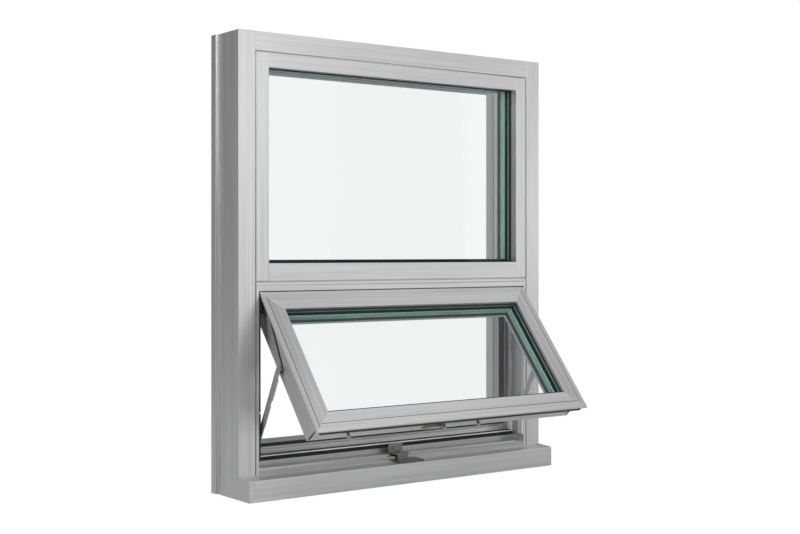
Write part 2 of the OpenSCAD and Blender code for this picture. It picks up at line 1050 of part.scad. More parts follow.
module vent_glazing_beads() {
    pocket = vent_face - vent_pocket;
    y = [vent_bead_d - vent_proud, vent_d - vent_proud];
    low = vent_bottom + pocket;
    high = vent_top - pocket;
    color(aluminium) in_vent() {
        for (side = [0, 1]) {
            mirror([side, 0, 0])
                run_z(low, high)
                    bead_section([-vent_x + pocket, y[0]], [-vent_x + vent_face, y[1]]);
        }
        run_x(-vent_x + vent_face + end_fit, vent_x - vent_face - end_fit)
            bead_section([y[0], low], [y[1], vent_bottom + vent_face]);
        run_x(-vent_x + vent_face + end_fit, vent_x - vent_face - end_fit)
            bead_section([y[0], vent_top - vent_face], [y[1], high]);
    }
}

module vent_setting_blocks() {
    low = vent_bottom + vent_face - vent_pocket;
    color(black_rubber) in_vent()
        for (side = [-1, 1]) {
            x = side * (vent_x - vent_face) / 2;
            block(
                [x - block_l / 2, vent_glass_d - vent_proud + block_in, low],
                [x + block_l / 2, vent_glass_d - vent_proud + unit_t - block_in, low + glass_gap]
            );
        }
}

// L-shaped cleats inside the hollow profiles, one at each mitre
module vent_corner_keys() {
    inner = vent_face - vent_pocket - vent_wall - key_fit;
    side_out = body_in + vent_wall + key_fit;
    bottom_out = body_in_bottom + vent_wall + key_fit;
    color(steel) in_vent()
        for (side = [0, 1]) {
            mirror([side, 0, 0]) {
                run_y(key_d[0] - vent_proud, key_d[1] - vent_proud) {
                    key_outline(vent_top, -1, side_out, inner, side_out);
                    key_outline(vent_bottom, 1, bottom_out, inner, side_out);
                }
            }
        }
}

module key_outline(z, up, out_z, inner, out_x) {
    polygon([
        [-vent_x + out_x, z + up * out_z],
        [-vent_x + out_x, z + up * (out_z + key_leg)],
        [-vent_x + inner, z + up * (out_z + key_leg)],
        [-vent_x + inner, z + up * inner],
        [-vent_x + out_x + key_leg, z + up * inner],
        [-vent_x + out_x + key_leg, z + up * out_z],
    ]);
}

// ---- stays ----

// A cylinder along x from x0 to x1
module rod_x(x0, x1, y, z, r) {
    translate([x0, y, z]) rotate([0, 90, 0]) cylinder(h = x1 - x0, r = r);
}

// A flat link of thickness link_t from point a to point b in (y, z), starting at x
module link(x, a, b, w) {
    length = norm(b - a);
    turn = atan2(b[1] - a[1], b[0] - a[0]);
    translate([x, a[0], a[1]])
        rotate([turn, 0, 0]) {
            rotate([0, 90, 0]) cylinder(h = link_t, r = w / 2);
            translate([0, length, 0]) rotate([0, 90, 0]) cylinder(h = link_t, r = w / 2);
            translate([0, 0, -w / 2]) cube([link_t, length, w]);
        }
}

// Sash bar and its two riveted pins, on the side of the vent's left stile
module sash_bar() {
    x = -body_x - link_t;
    difference() {
        link(x, [pin_y, pin_z], [knee_y, knee_z], link_w);
        rod_x(x - cut, x + link_t + cut, pin_y, pin_z, pin_r + pin_fit);
        for (p = bar_screws) rod_x(x - cut, x + link_t + cut, p[0], p[1], screw_hole_r);
    }
    outer_x = -plane_arm - link_t - pin_fit;
    rod_x(-plane_arm + pin_fit, x + cut, knee_y, knee_z, head_r);
    rod_x(outer_x - cut, x + cut, knee_y, knee_z, pin_r);
    rod_x(outer_x - head_t, outer_x, knee_y, knee_z, head_r);
}

module sash_bar_left() {
    color(steel) in_vent() sash_bar();
}

module sash_bar_right() {
    color(steel) in_vent() right_of_left() sash_bar();
}

// Track on the subframe jamb, with a channel for the shoe and the fixed hinge pin at its top
module stay_track() {
    x = -opening_x;
    difference() {
        union() {
            block(
                [x, pin_y - track_half, track_low],
                [x + track_t, pin_y + track_half, pin_z + track_half]
            );
            block(
                [x, pin_y - track_half, track_low],
                [x + track_out, pin_y + track_half, track_high]
            );
        }
        block(
            [x + track_t, pin_y - track_half + track_side, track_low - cut],
            [x + track_out - track_lip, pin_y + track_half - track_side, track_high + cut]
        );
        block(
            [x + track_t, pin_y - track_half + track_lip_w, track_low - cut],
            [x + track_out + cut, pin_y + track_half - track_lip_w, track_high + cut]
        );
        for (z = track_screw_z) rod_x(x - cut, x + track_t + cut, pin_y, z, screw_hole_r);
    }
    rod_x(x + track_t - cut, -body_x + pin_fit + head_t, pin_y, pin_z, pin_r);
    rod_x(x + track_t - cut, -body_x - link_t - pin_fit, pin_y, pin_z, head_r);
    rod_x(-body_x + pin_fit, -body_x + pin_fit + head_t, pin_y, pin_z, head_r);
}

module stay_track_left() {
    color(steel) at_front() stay_track();
}

module stay_track_right() {
    color(steel) at_front() right_of_left() stay_track();
}

// Support arm from the knee to the shoe, with two stiffening lips along its front edge
module stay_arm() {
    x = -plane_arm - link_t;
    turn = atan2(shoe_z - open_knee[1], pin_y - open_knee[0]);
    edge = link_w / 2 + arm_lip[2];
    difference() {
        union() {
            link(x, open_knee, [pin_y, shoe_z], link_w);
            translate([x, open_knee[0], open_knee[1]])
                rotate([turn, 0, 0]) {
                    block([0, arm_lip[0], -edge], [link_t, arm_lip[1], 0]);
                    block([-arm_lip_out, arm_lip[0], -edge], [link_t, arm_lip[1], arm_lip_t - edge]);
                    block(
                        [0, arm_lip_2[0], -link_w / 2 - arm_lip_2[2]],
                        [link_t, arm_lip_2[1], 0]
                    );
                }
        }
        rod_x(x - cut, x + link_t + cut, open_knee[0], open_knee[1], pin_r + pin_fit);
        rod_x(x - cut, x + link_t + cut, pin_y, shoe_z, pin_r + pin_fit);
    }
}

module stay_arm_left() {
    color(steel) at_front() stay_arm();
}

module stay_arm_right() {
    color(steel) at_front() right_of_left() stay_arm();
}

// Shoe in the track, with its riveted pin through the arm
module stay_shoe() {
    x = -opening_x + track_t + slide_fit;
    lip_x = -opening_x + track_out - track_lip - slide_fit;
    wide = track_half - track_side - slide_fit;
    narrow = track_half - track_lip_w - slide_fit;
    arm_x = -plane_arm - link_t;
    block(
        [x, pin_y - wide, shoe_z - shoe_l / 2],
        [lip_x, pin_y + wide, shoe_z + shoe_l / 2]
    );
    block(
        [x, pin_y - narrow, shoe_z - shoe_l / 2],
        [arm_x - pin_fit, pin_y + narrow, shoe_z + shoe_l / 2]
    );
    rod_x(x, -plane_arm + pin_fit + head_t, pin_y, shoe_z, pin_r);
    rod_x(-plane_arm + pin_fit, -plane_arm + pin_fit + head_t, pin_y, shoe_z, head_r);
}

module stay_shoe_left() {
    color(steel) at_front() stay_shoe();
}

module stay_shoe_right() {
    color(steel) at_front() right_of_left() stay_shoe();
}

// ---- lock ----

// Strip screwed along the underside of the bottom rail
module lock_rail() {
    color(aluminium) in_vent()
        difference() {
            block(
                [rail_x[0], rail_d[0] - vent_proud, lock_z - lock_rail_t],
                [rail_x[1], rail_d[1] - vent_proud, lock_z]
            );
            rail_screw_holes(lock_z - lock_rail_t - cut, lock_z + cut);
        }
}

module lock_bar() {
    top = lock_z - lock_rail_t - slide_fit;
    color(steel) in_vent()
        difference() {
            union() {
                block(
                    [bar_x[0], lock_d - bar_half - vent_proud, top - lock_bar_t],
                    [bar_x[1], lock_d + bar_half - vent_proud, top]
                );
                block(
                    [roller_x[1] + bar_step, lock_d - bar_wide - vent_proud, top - lock_bar_t],
                    [roller_x[2] - bar_step, lock_d + bar_half - vent_proud, top]
                );
            }
            for (x = roller_x)
                translate([x, lock_d - vent_proud, top - lock_bar_t - cut])
                    cylinder(h = lock_bar_t + 2 * cut, r = roller_pin_r);
        }
}

// Three headed rollers riveted in the bar
module lock_rollers() {
    top = lock_z - lock_rail_t - slide_fit;
    color(steel) in_vent()
        for (x = roller_x)
            translate([x, lock_d - vent_proud, top - lock_bar_t]) {
                cylinder(h = lock_bar_t, r = roller_pin_r);
                translate([0, 0, -roller_h]) cylinder(h = roller_h, r = roller_neck_r);
                translate([0, 0, -roller_h]) cylinder(h = roller_flange, r = roller_r);
            }
}

// Flat case under the rail, beside the bar, that turns the handle's motion into the bar's
module lock_gear_case() {
    d = [lock_d + bar_half + case_gap, rail_d[1]];
    low = lock_z - lock_rail_t - case_t;
    color(steel) in_vent()
        difference() {
            block(
                [lock_x - case_half, d[0] - vent_proud, low],
                [lock_x + case_half, d[1] - vent_proud, lock_z - lock_rail_t]
            );
            for (side = [-1, 1])
                translate([lock_x + side * case_hole[0], (d[0] + d[1]) / 2 - vent_proud, low - cut])
                    cylinder(h = case_hole[2] + cut, r = case_hole[1]);
        }
}

// Rose of the handle on the room side of the bottom rail
module handle_base() {
    color(aluminium) in_vent()
        run_y(vent_d - vent_proud, vent_d - vent_proud + base_t)
            translate([lock_x, handle_z])
                difference() {
                    hull() {
                        translate([-base_l / 2 + base_h / 2, 0]) circle(r = base_h / 2);
                        translate([base_l / 2 - base_h / 2, 0]) circle(r = base_h / 2);
                    }
                    circle(r = spindle_r + pin_fit);
                }
}

// Lever with its spindle; at rest it lies level, behind the bottom rail
module handle() {
    y = vent_d - vent_proud + base_t + slide_fit;
    grip = [y + hub_h, y + hub_h + grip_t];
    end_x = lock_x + lever_l - grip_half;
    color(aluminium) in_vent() {
        translate([lock_x, vent_d - vent_proud + spindle_in, handle_z])
            rotate([-90, 0, 0]) cylinder(h = base_t + cut, r = spindle_r);
        translate([lock_x, y, handle_z]) rotate([-90, 0, 0]) cylinder(h = hub_h + grip_t, r = hub_r);
        block([lock_x, grip[0], handle_z - grip_half], [end_x, grip[1], handle_z + grip_half]);
        translate([end_x, grip[0], handle_z]) rotate([-90, 0, 0]) cylinder(h = grip_t, r = grip_half);
    }
}

// Keeper on the sill: a plate over the lip, with a tab that a roller slides behind and a tongue down
// on to the nose
module sill_keeper() {
    color(steel) at_front()
        difference() {
            union() {
                block(
                    [keeper_x[0], keeper_front, shelf_z],
                    [keeper_x[1], keeper_tab_y, shelf_z + keeper_t]
                );
                block(
                    [keeper_x[0], keeper_tab_y - keeper_t, shelf_z],
                    [keeper_x[1], keeper_tab_y, shelf_z + keeper_h]
                );
                block(
                    [keeper_x[0] + keeper_side, keeper_front, nose_h + nose_fall],
                    [keeper_x[1] - keeper_side, keeper_front + keeper_t, shelf_z + cut]
                );
                run_x(keeper_plate_x[0], keeper_plate_x[1])
                    translate([-nose_out, nose_h])
                        rotate(atan(nose_fall / nose_out))
                            span(
                                [keeper_plate_y[0], -nose_recess],
                                [nose_out - keeper_plate_y[1], keeper_plate_t]
                            );
            }
            for (x = keeper_screw_x)
                translate([x, keeper_screw_y, shelf_z - cut])
                    cylinder(h = keeper_t + 2 * cut, r = screw_hole_r);
            translate([keeper_x[0] + keeper_hole[0], keeper_tab_y + cut, shelf_z + keeper_hole[1]])
                rotate([90, 0, 0]) cylinder(h = keeper_t + 2 * cut, r = keeper_hole[2]);
        }
}

// ---- screws ----

// Pan-head screw: its head stands on the surface at the origin, its shank points down
module screw(length) {
    cylinder(h = screw_head_t, r1 = screw_r, r2 = screw_r - screw_cone);
    translate([0, 0, -length]) cylinder(h = length + screw_head_t / 2, r = screw_shank_r);
}

// The same screw with its head towards +x, at (y, z) on the plane x
module screw_x(x, y, z, length) {
    translate([x, y, z]) rotate([0, 90, 0]) screw(length);
}

module track_screws() {
    for (z = track_screw_z) screw_x(-opening_x + track_t, pin_y, z, track_t + fixed_wall);
}

module frame_screws() {
    color(steel) at_front() {
        for (x = keeper_screw_x)
            translate([x, keeper_screw_y, shelf_z + keeper_t]) screw(keeper_t + screw_more);
        track_screws();
        right_of_left() track_screws();
    }
}

module sash_bar_screws() {
    for (p = bar_screws)
        mirror([1, 0, 0]) screw_x(body_x + link_t, p[0], p[1], link_t + vent_wall);
}

module vent_screws() {
    color(steel) in_vent() {
        for (x = [rail_x[0] + rail_screw_in, rail_x[1] - rail_screw_in])
            translate([x, lock_d - vent_proud, lock_z - lock_rail_t])
                rotate([180, 0, 0]) screw(lock_rail_t + vent_wall);
        sash_bar_screws();
        right_of_left() sash_bar_screws();
    }
}

jamb_left_outer();
jamb_right_outer();
head_outer();
sill_outer();
jamb_left_inner();
jamb_right_inner();
head_inner();
sill_inner();
thermal_breaks();
sill_nose();
nose_end_caps();
transom();
fixed_rail_top();
fixed_rail_bottom();
fixed_stile_left();
fixed_stile_right();
fixed_pane_outer();
fixed_pane_middle();
fixed_pane_inner();
fixed_spacers();
fixed_gasket_outer();
fixed_gasket_inner();
fixed_glazing_beads();
fixed_setting_blocks();
subframe_head();
subframe_jamb_left();
subframe_jamb_right();
subframe_sill();
weatherstrip();
inner_seal();
stay_track_left();
stay_track_right();
sill_keeper();
frame_screws();
vent_rail_top();
vent_rail_bottom();
vent_stile_left();
vent_stile_right();
vent_pane_outer();
vent_pane_middle();
vent_pane_inner();
vent_spacers();
vent_gasket_outer();
vent_gasket_inner();
vent_glazing_beads();
vent_setting_blocks();
vent_corner_keys();
sash_bar_left();
sash_bar_right();
lock_rail();
lock_gear_case();
handle_base();
vent_screws();
stay_arm_left();
stay_arm_right();
stay_shoe_left();
stay_shoe_right();
lock_bar();
lock_rollers();
handle();
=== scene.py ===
import json
import math

import bmesh
import bpy
from mathutils import Matrix, Vector


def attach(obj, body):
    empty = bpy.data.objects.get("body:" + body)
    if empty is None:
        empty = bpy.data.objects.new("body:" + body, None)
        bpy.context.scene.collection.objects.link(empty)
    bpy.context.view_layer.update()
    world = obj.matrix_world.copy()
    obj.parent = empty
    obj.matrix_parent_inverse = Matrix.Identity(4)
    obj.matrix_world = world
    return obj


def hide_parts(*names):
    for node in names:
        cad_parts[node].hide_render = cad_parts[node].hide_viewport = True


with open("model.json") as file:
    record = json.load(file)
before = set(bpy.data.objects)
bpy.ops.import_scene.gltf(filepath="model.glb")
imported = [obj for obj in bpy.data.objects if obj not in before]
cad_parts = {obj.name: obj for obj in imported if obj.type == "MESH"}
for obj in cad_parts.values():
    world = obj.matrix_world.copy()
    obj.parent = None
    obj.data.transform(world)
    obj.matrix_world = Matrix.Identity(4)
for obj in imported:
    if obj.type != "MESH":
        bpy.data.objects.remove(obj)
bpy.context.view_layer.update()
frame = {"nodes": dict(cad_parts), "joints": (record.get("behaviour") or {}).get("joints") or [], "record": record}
nodes = frame["nodes"]
print("frame loaded")

# The closed vent turns about its hinge pins into the place it has at rest
vent = {"openAngle": 39.5}
hingePin = Vector(next(j["pos_m"] for j in frame["joints"] if j["name"] == "vent_tilt"))
ventTurn = Matrix.Rotation(math.radians(-vent["openAngle"]), 4, "X")
openVent = Matrix.Translation(hingePin) @ ventTurn @ Matrix.Translation(-hingePin)
inFrame = Matrix.Identity(4)

bodyOfNode = {
    node: body
    for body, members in frame["record"]["behaviour"]["bodies"].items()
    for node in members
}
slotOfNode = {row["node"]: row["material_slot"] for row in frame["record"]["subparts"]}

cameraLook = {
    "place": (-1.91254, -2.67432, 0.55511),
    "turn": (90.0, 0.0, -36.151),
    "lens": 59.84,
    "sensor": 36.0,
    "shiftY": -0.0184,
}
studio = {
    "backdrop": 1.0,
    "brightWay": (0.55, -0.75, 0.35),
    "dimmest": 0.26,
    "brightest": 0.68,
    "floorColor": 0.74,
    "floorWhite": 1.0,
    "floorDrop": 0.001,
    "floorSize": 12.0,
}
# name: (place, aimed at, width, height, power)
softBoxes = {
    "keyBox": ((0.6, -3.1, 1.15), (0.3, 0.0, 0.95), 2.4, 1.3, 6.0),
    "rightBox": ((3.6, -3.1, 1.0), (0.4, 0.0, 0.6), 1.4, 1.3, 5.8),
    "lowBox": ((2.4, -3.4, 0.14), (0.1, -0.2, 0.1), 1.8, 0.26, 1.8),
    "topBox": ((1.7, -1.0, 2.6), (0.1, -0.2, 0.3), 1.6, 1.2, 1.6),
    "floorWash": ((-2.3, 0.5, 0.8), (-0.9, 0.55, 0.0), 0.8, 0.8, 8.0),
    "frontWash": ((-0.6, -1.5, 1.3), (0.2, -0.6, 0.0), 0.8, 0.8, 14.0),
}


def addCamera(look):
    data = bpy.data.cameras.new("camera")
    data.lens = look["lens"]
    data.sensor_width = look["sensor"]
    data.shift_y = look["shiftY"]
    camera = bpy.data.objects.new("camera", data)
    camera.location = look["place"]
    camera.rotation_euler = [math.radians(a) for a in look["turn"]]
    bpy.context.scene.collection.objects.link(camera)
    bpy.context.scene.camera = camera


def addSoftBox(name, place, aim, width, height, power):
    data = bpy.data.lights.new(name, "AREA")
    data.shape = "RECTANGLE"
    data.size = width
    data.size_y = height
    data.energy = power
    light = bpy.data.objects.new(name, data)
    light.location = place
    light.rotation_euler = (Vector(aim) - Vector(place)).to_track_quat("-Z", "Y").to_euler()
    light.visible_camera = False
    bpy.context.scene.collection.objects.link(light)


def whiteToTheEye(tree, whiteStrength, shade):
    # plain white where it is seen directly, the studio's own shade where it only lights the window
    path = tree.nodes.new("ShaderNodeLightPath")
    isBackground = shade.type == "BACKGROUND"
    white = tree.nodes.new("ShaderNodeBackground" if isBackground else "ShaderNodeEmission")
    white.inputs["Strength"].default_value = whiteStrength
    white.inputs["Color"].default_value = (1, 1, 1, 1)
    mix = tree.nodes.new("ShaderNodeMixShader")
    tree.links.new(path.outputs["Is Camera Ray"], mix.inputs["Fac"])
    tree.links.new(shade.outputs[0], mix.inputs[1])
    tree.links.new(white.outputs[0], mix.inputs[2])
    return mix.outputs[0]


def addBackdrop(look):
    # dim behind the window, brighter towards brightWay
    world = bpy.data.worlds.new("studio")
    bpy.context.scene.world = world
    world.use_nodes = True
    tree = world.node_tree
    tree.nodes.clear()
    coordinates = tree.nodes.new("ShaderNodeTexCoord")
    reach = tree.nodes.new("ShaderNodeVectorMath")
    reach.operation = "DOT_PRODUCT"
    reach.inputs[1].default_value = look["brightWay"]
    ramp = tree.nodes.new("ShaderNodeMapRange")
    ramp.interpolation_type = "SMOOTHSTEP"
    ramp.inputs["From Min"].default_value = -1.0
    ramp.inputs["From Max"].default_value = 1.0
    ramp.inputs["To Min"].default_value = look["dimmest"]
    ramp.inputs["To Max"].default_value = look["brightest"]
    shade = tree.nodes.new("ShaderNodeBackground")
    output = tree.nodes.new("ShaderNodeOutputWorld")
    tree.links.new(coordinates.outputs["Generated"], reach.inputs[0])
    tree.links.new(reach.outputs["Value"], ramp.inputs["Value"])
    tree.links.new(ramp.outputs["Result"], shade.inputs["Strength"])
    tree.links.new(whiteToTheEye(tree, look["backdrop"], shade), output.inputs["Surface"])
    bpy.context.scene.view_settings.view_transform = "Standard"


def addFloor(look):
    mesh = bpy.data.meshes.new("floor")
    bm = bmesh.new()
    bmesh.ops.create_grid(bm, x_segments=1, y_segments=1, size=look["floorSize"])
    bm.to_mesh(mesh)
    bm.free()
    floor = bpy.data.objects.new("floor", mesh)
    floor.location = (0, 0, -look["floorDrop"])
    bpy.context.scene.collection.objects.link(floor)
    paint = bpy.data.materials.new("floorPaint")
    paint.use_nodes = True
    tree = paint.node_tree
    tree.nodes.clear()
    shade = tree.nodes.new("ShaderNodeBsdfDiffuse")
    grey = look["floorColor"]
    shade.inputs["Color"].default_value = (grey, grey, grey, 1)
    output = tree.nodes.new("ShaderNodeOutputMaterial")
    tree.links.new(whiteToTheEye(tree, look["floorWhite"], shade), output.inputs["Surface"])
    mesh.materials.append(paint)


addCamera(cameraLook)
addBackdrop(studio)
addFloor(studio)
for boxName, boxLook in softBoxes.items():
    addSoftBox(boxName, *boxLook)
print("camera, floor and light set")


def newFinish(name):
    material = bpy.data.materials.new(name)
    material.use_nodes = True
    tree = material.node_tree
    return material, tree, tree.nodes["Principled BSDF"]


def objectPattern(tree, scale, turn=(0, 0, 0)):
    coordinates = tree.nodes.new("ShaderNodeTexCoord")
    mapping = tree.nodes.new("ShaderNodeMapping")
    mapping.vector_type = "TEXTURE" if any(turn) else "POINT"
    if any(turn):
        mapping.inputs["Rotation"].default_value = [math.radians(a) for a in turn]
        stretch = tree.nodes.new("ShaderNodeMapping")
        stretch.inputs["Scale"].default_value = scale
        tree.links.new(coordinates.outputs["Object"], mapping.inputs["Vector"])
        tree.links.new(mapping.outputs["Vector"], stretch.inputs["Vector"])
        return stretch.outputs["Vector"]
    mapping.inputs["Scale"].default_value = scale
    tree.links.new(coordinates.outputs["Object"], mapping.inputs["Vector"])
    return mapping.outputs["Vector"]


def noiseOn(tree, vector, detail=3.0, roughness=0.55):
    noise = tree.nodes.new("ShaderNodeTexNoise")
    noise.inputs["Scale"].default_value = 1.0
    noise.inputs["Detail"].default_value = detail
    noise.inputs["Roughness"].default_value = roughness
    tree.links.new(vector, noise.inputs["Vector"])
    return noise.outputs["Fac"]


noiseReach = (0.25, 0.75)  # nearly all of a noise lies between these


def spread(tree, value, low, high):
    ramp = tree.nodes.new("ShaderNodeMapRange")
    ramp.inputs["From Min"].default_value = noiseReach[0]
    ramp.inputs["From Max"].default_value = noiseReach[1]
    ramp.inputs["To Min"].default_value = low
    ramp.inputs["To Max"].default_value = high
    tree.links.new(value, ramp.inputs["Value"])
    return ramp.outputs["Result"]


def tintBetween(tree, value, dark, light):
    mix = tree.nodes.new("ShaderNodeMix")
    mix.data_type = "RGBA"
    mix.inputs["A"].default_value = (*dark, 1)
    mix.inputs["B"].default_value = (*light, 1)
    tree.links.new(value, mix.inputs["Factor"])
    return mix.outputs["Result"]


bumpDepth = 0.0002


def bumpFrom(tree, shader, value, strength):
    bump = tree.nodes.new("ShaderNodeBump")
    bump.inputs["Strength"].default_value = strength
    bump.inputs["Distance"].default_value = bumpDepth
    tree.links.new(value, bump.inputs["Height"])
    tree.links.new(bump.outputs["Normal"], shader.inputs["Normal"])


# Along the run the brushing is long, across it fine
brushing = {
    "along": 4.0, "across": 520.0, "even": 420.0,
    "streakAlong": 1.6, "streakAcross": 130.0, "streakEven": 60.0,
    "cloud": 3.0, "cloudSpread": 0.02, "streakSpread": 0.04,
}
grainScale = {
    "x": (brushing["along"], brushing["across"], brushing["across"]),
    "z": (brushing["across"], brushing["across"], brushing["along"]),
    "even": (brushing["even"],) * 3,
}
streakScale = {
    "x": (brushing["streakAlong"], brushing["streakAcross"], brushing["streakAcross"]),
    "z": (brushing["streakAcross"], brushing["streakAcross"], brushing["streakAlong"]),
    "even": (brushing["streakEven"],) * 3,
}


def brushedMetal(name, run, look, turn=(0, 0, 0)):
    material, tree, shader = newFinish(name)
    grain = noiseOn(tree, objectPattern(tree, grainScale[run], turn), 4.0, 0.6)
    streak = noiseOn(tree, objectPattern(tree, streakScale[run], turn), 2.0)
    cloud = noiseOn(tree, objectPattern(tree, (brushing["cloud"],) * 3, turn), 1.0)
    blend = tree.nodes.new("ShaderNodeMix")
    blend.inputs["Factor"].default_value = look["streaks"]
    tree.links.new(grain, blend.inputs["A"])
    tree.links.new(streak, blend.inputs["B"])
    tone = spread(tree, blend.outputs["Result"], 0.0, 1.0)
    color = tintBetween(tree, tone, look["dark"], look["light"])
    shader.inputs["Metallic"].default_value = look["metallic"]
    tree.links.new(color, shader.inputs["Base Color"])
    rough = tree.nodes.new("ShaderNodeMath")
    rough.operation = "ADD"
    soft, fine = brushing["cloudSpread"], brushing["streakSpread"]
    tree.links.new(spread(tree, cloud, -soft, soft), rough.inputs[0])
    tree.links.new(spread(tree, streak, look["rough"] - fine, look["rough"] + fine), rough.inputs[1])
    tree.links.new(rough.outputs[0], shader.inputs["Roughness"])
    bumpFrom(tree, shader, blend.outputs["Result"], look["bump"])
    # a part given a glow shines in its light colour, which is painted light
    shader.inputs["Emission Color"].default_value = (*look["light"], 1)
    shader.inputs["Emission Strength"].default_value = look.get("glow", 0.0)
    return material


satinAluminium = {
    "dark": (0.54, 0.54, 0.545), "light": (0.78, 0.78, 0.78),
    "rough": 0.36, "metallic": 0.92, "bump": 0.12, "streaks": 0.4,
}
# painted light and shade: the vent's rails are painted lighter and its stiles darker, standing for the brighter
# and dimmer reflections on each run
ventPaintedLighter = dict(satinAluminium, dark=(0.55, 0.55, 0.555), light=(0.82, 0.82, 0.82), bump=0.18)
ventUprightPaintedDarker = dict(ventPaintedLighter, dark=(0.46, 0.46, 0.465), light=(0.74, 0.74, 0.74))
# painted shade: the sill profiles are painted darker, standing for dim reflections on their upward faces
sillPaintedShade = dict(satinAluminium, dark=(0.36, 0.36, 0.365), light=(0.56, 0.56, 0.56))
# painted shade: the left stay track is painted near black, standing for the shade in the gap beside the vent
trackSteel = dict(satinAluminium, dark=(0.02, 0.02, 0.02), light=(0.06, 0.06, 0.058), metallic=0.5)
warmSteel = {
    "dark": (0.34, 0.325, 0.30), "light": (0.66, 0.63, 0.59),
    "rough": 0.34, "metallic": 1.0, "bump": 0.15, "streaks": 0.5,
}
# painted light: the right stay's track, bar and arm are painted paler than the same parts on the left, standing
# for the light on that side
steelPaintedLight = dict(warmSteel, dark=(0.7, 0.7, 0.68), light=(0.92, 0.92, 0.9), metallic=0.5)
darkSteel = dict(warmSteel, dark=(0.14, 0.135, 0.13), light=(0.34, 0.33, 0.32))
# painted light: beads and reveals are painted pale green and given a faint glow, standing for the light that comes
# through the glass
beadPaintedLight = dict(
    satinAluminium, dark=(0.80, 0.93, 0.89), light=(0.88, 0.98, 0.95), metallic=0.1, rough=0.42, glow=0.11,
)
revealPaintedLight = dict(
    beadPaintedLight, dark=(0.74, 0.80, 0.79), light=(0.84, 0.90, 0.885), metallic=0.3, glow=0.06,
)
closedTurn = (-vent["openAngle"], 0, 0)

finishes = {
    "frameX": brushedMetal("satinAluminiumLevel", "x", satinAluminium),
    "frameZ": brushedMetal("satinAluminiumUpright", "z", satinAluminium),
    "frameEven": brushedMetal("satinAluminiumCast", "even", satinAluminium),
    "ventX": brushedMetal("ventAluminiumLevelPaintedLight", "x", ventPaintedLighter, closedTurn),
    "ventZ": brushedMetal("ventAluminiumUprightPaintedShade", "z", ventUprightPaintedDarker, closedTurn),
    "sillX": brushedMetal("sillPaintedShade", "x", sillPaintedShade),
    "track": brushedMetal("trackSteel", "z", trackSteel),
    "bead": brushedMetal("beadPaintedLight", "even", beadPaintedLight),
    "reveal": brushedMetal("revealPaintedLight", "z", revealPaintedLight),
    "steelX": brushedMetal("brushedSteelLevel", "x", warmSteel),
    "steelEven": brushedMetal("rolledSteel", "even", warmSteel),
    "steelPaintedLight": brushedMetal("steelPaintedLight", "even", steelPaintedLight),
    "darkSteel": brushedMetal("darkSteel", "x", darkSteel),
}


moulding = {"cloud": 14.0, "darker": 0.82, "lighter": 1.2, "roughSpread": 0.07, "specular": 0.35}


def moulded(name, color, rough, grain, bump, specular=moulding["specular"]):
    material, tree, shader = newFinish(name)
    fine = noiseOn(tree, objectPattern(tree, (grain,) * 3), 4.0, 0.6)
    broad = noiseOn(tree, objectPattern(tree, (moulding["cloud"],) * 3), 2.0)
    dark = tuple(c * moulding["darker"] for c in color)
    light = tuple(min(1.0, c * moulding["lighter"]) for c in color)
    tint = tintBetween(tree, spread(tree, broad, 0, 1), dark, light)
    vary = moulding["roughSpread"]
    tree.links.new(tint, shader.inputs["Base Color"])
    tree.links.new(spread(tree, fine, rough - vary, rough + vary), shader.inputs["Roughness"])
    shader.inputs["Specular IOR Level"].default_value = specular
    bumpFrom(tree, shader, fine, bump)
    return material


finishes["rubber"] = moulded("blackRubber", (0.018, 0.018, 0.019), 0.55, 900.0, 0.25)
finishes["polyamide"] = moulded("greyPolyamide", (0.45, 0.45, 0.455), 0.5, 700.0, 0.15)
finishes["innerSeal"] = moulded("greyInnerSeal", (0.15, 0.20, 0.19), 0.5, 700.0, 0.15)
# a pale seal colour, painted light on the shaded weatherstrip uprights and the right hinge blocks
finishes["paleSeal"] = moulded("paleSeal", (0.78, 0.80, 0.80), 0.5, 700.0, 0.15)
finishes["darkSpacer"] = moulded("darkEdgeSpacer", (0.012, 0.03, 0.027), 0.45, 600.0, 0.1, 0.2)
finishes["greenSpacer"] = moulded("tintedEdgeSpacer", (0.38, 0.60, 0.53), 0.45, 600.0, 0.1, 0.2)
finishes["butyl"] = moulded("butylSeal", (0.01, 0.012, 0.012), 0.6, 500.0, 0.2, 0.1)

glassLook = {
    "tint": (0.984, 0.988, 0.9885), "rough": 0.02, "haze": 2.0,
    "headOn": 0.012, "headOnSpread": 0.2, "grazing": 0.5, "falloff": 5.0,
}


def clearGlass(name, look):
    # see-through, with a mirror that grows towards grazing sight
    material, tree, shader = newFinish(name)
    tree.nodes.remove(shader)
    through = tree.nodes.new("ShaderNodeBsdfTransparent")
    through.inputs["Color"].default_value = (*look["tint"], 1)
    gloss = tree.nodes.new("ShaderNodeBsdfGlossy")
    gloss.inputs["Roughness"].default_value = look["rough"]
    facing = tree.nodes.new("ShaderNodeLayerWeight")
    facing.inputs["Blend"].default_value = 0.5
    power = tree.nodes.new("ShaderNodeMath")
    power.operation = "POWER"
    power.inputs[1].default_value = look["falloff"]
    haze = noiseOn(tree, objectPattern(tree, (look["haze"],) * 3), 1.0)
    faintest, strongest = (look["headOn"] * (1 + way * look["headOnSpread"]) for way in (-1, 1))
    weight = tree.nodes.new("ShaderNodeMapRange")
    weight.inputs["To Max"].default_value = look["grazing"]
    tree.links.new(facing.outputs["Facing"], power.inputs[0])
    tree.links.new(power.outputs[0], weight.inputs["Value"])
    tree.links.new(spread(tree, haze, faintest, strongest), weight.inputs["To Min"])
    mix = tree.nodes.new("ShaderNodeMixShader")
    tree.links.new(weight.outputs["Result"], mix.inputs["Fac"])
    tree.links.new(through.outputs[0], mix.inputs[1])
    tree.links.new(gloss.outputs[0], mix.inputs[2])
    tree.links.new(mix.outputs[0], tree.nodes["Material Output"].inputs["Surface"])
    return material


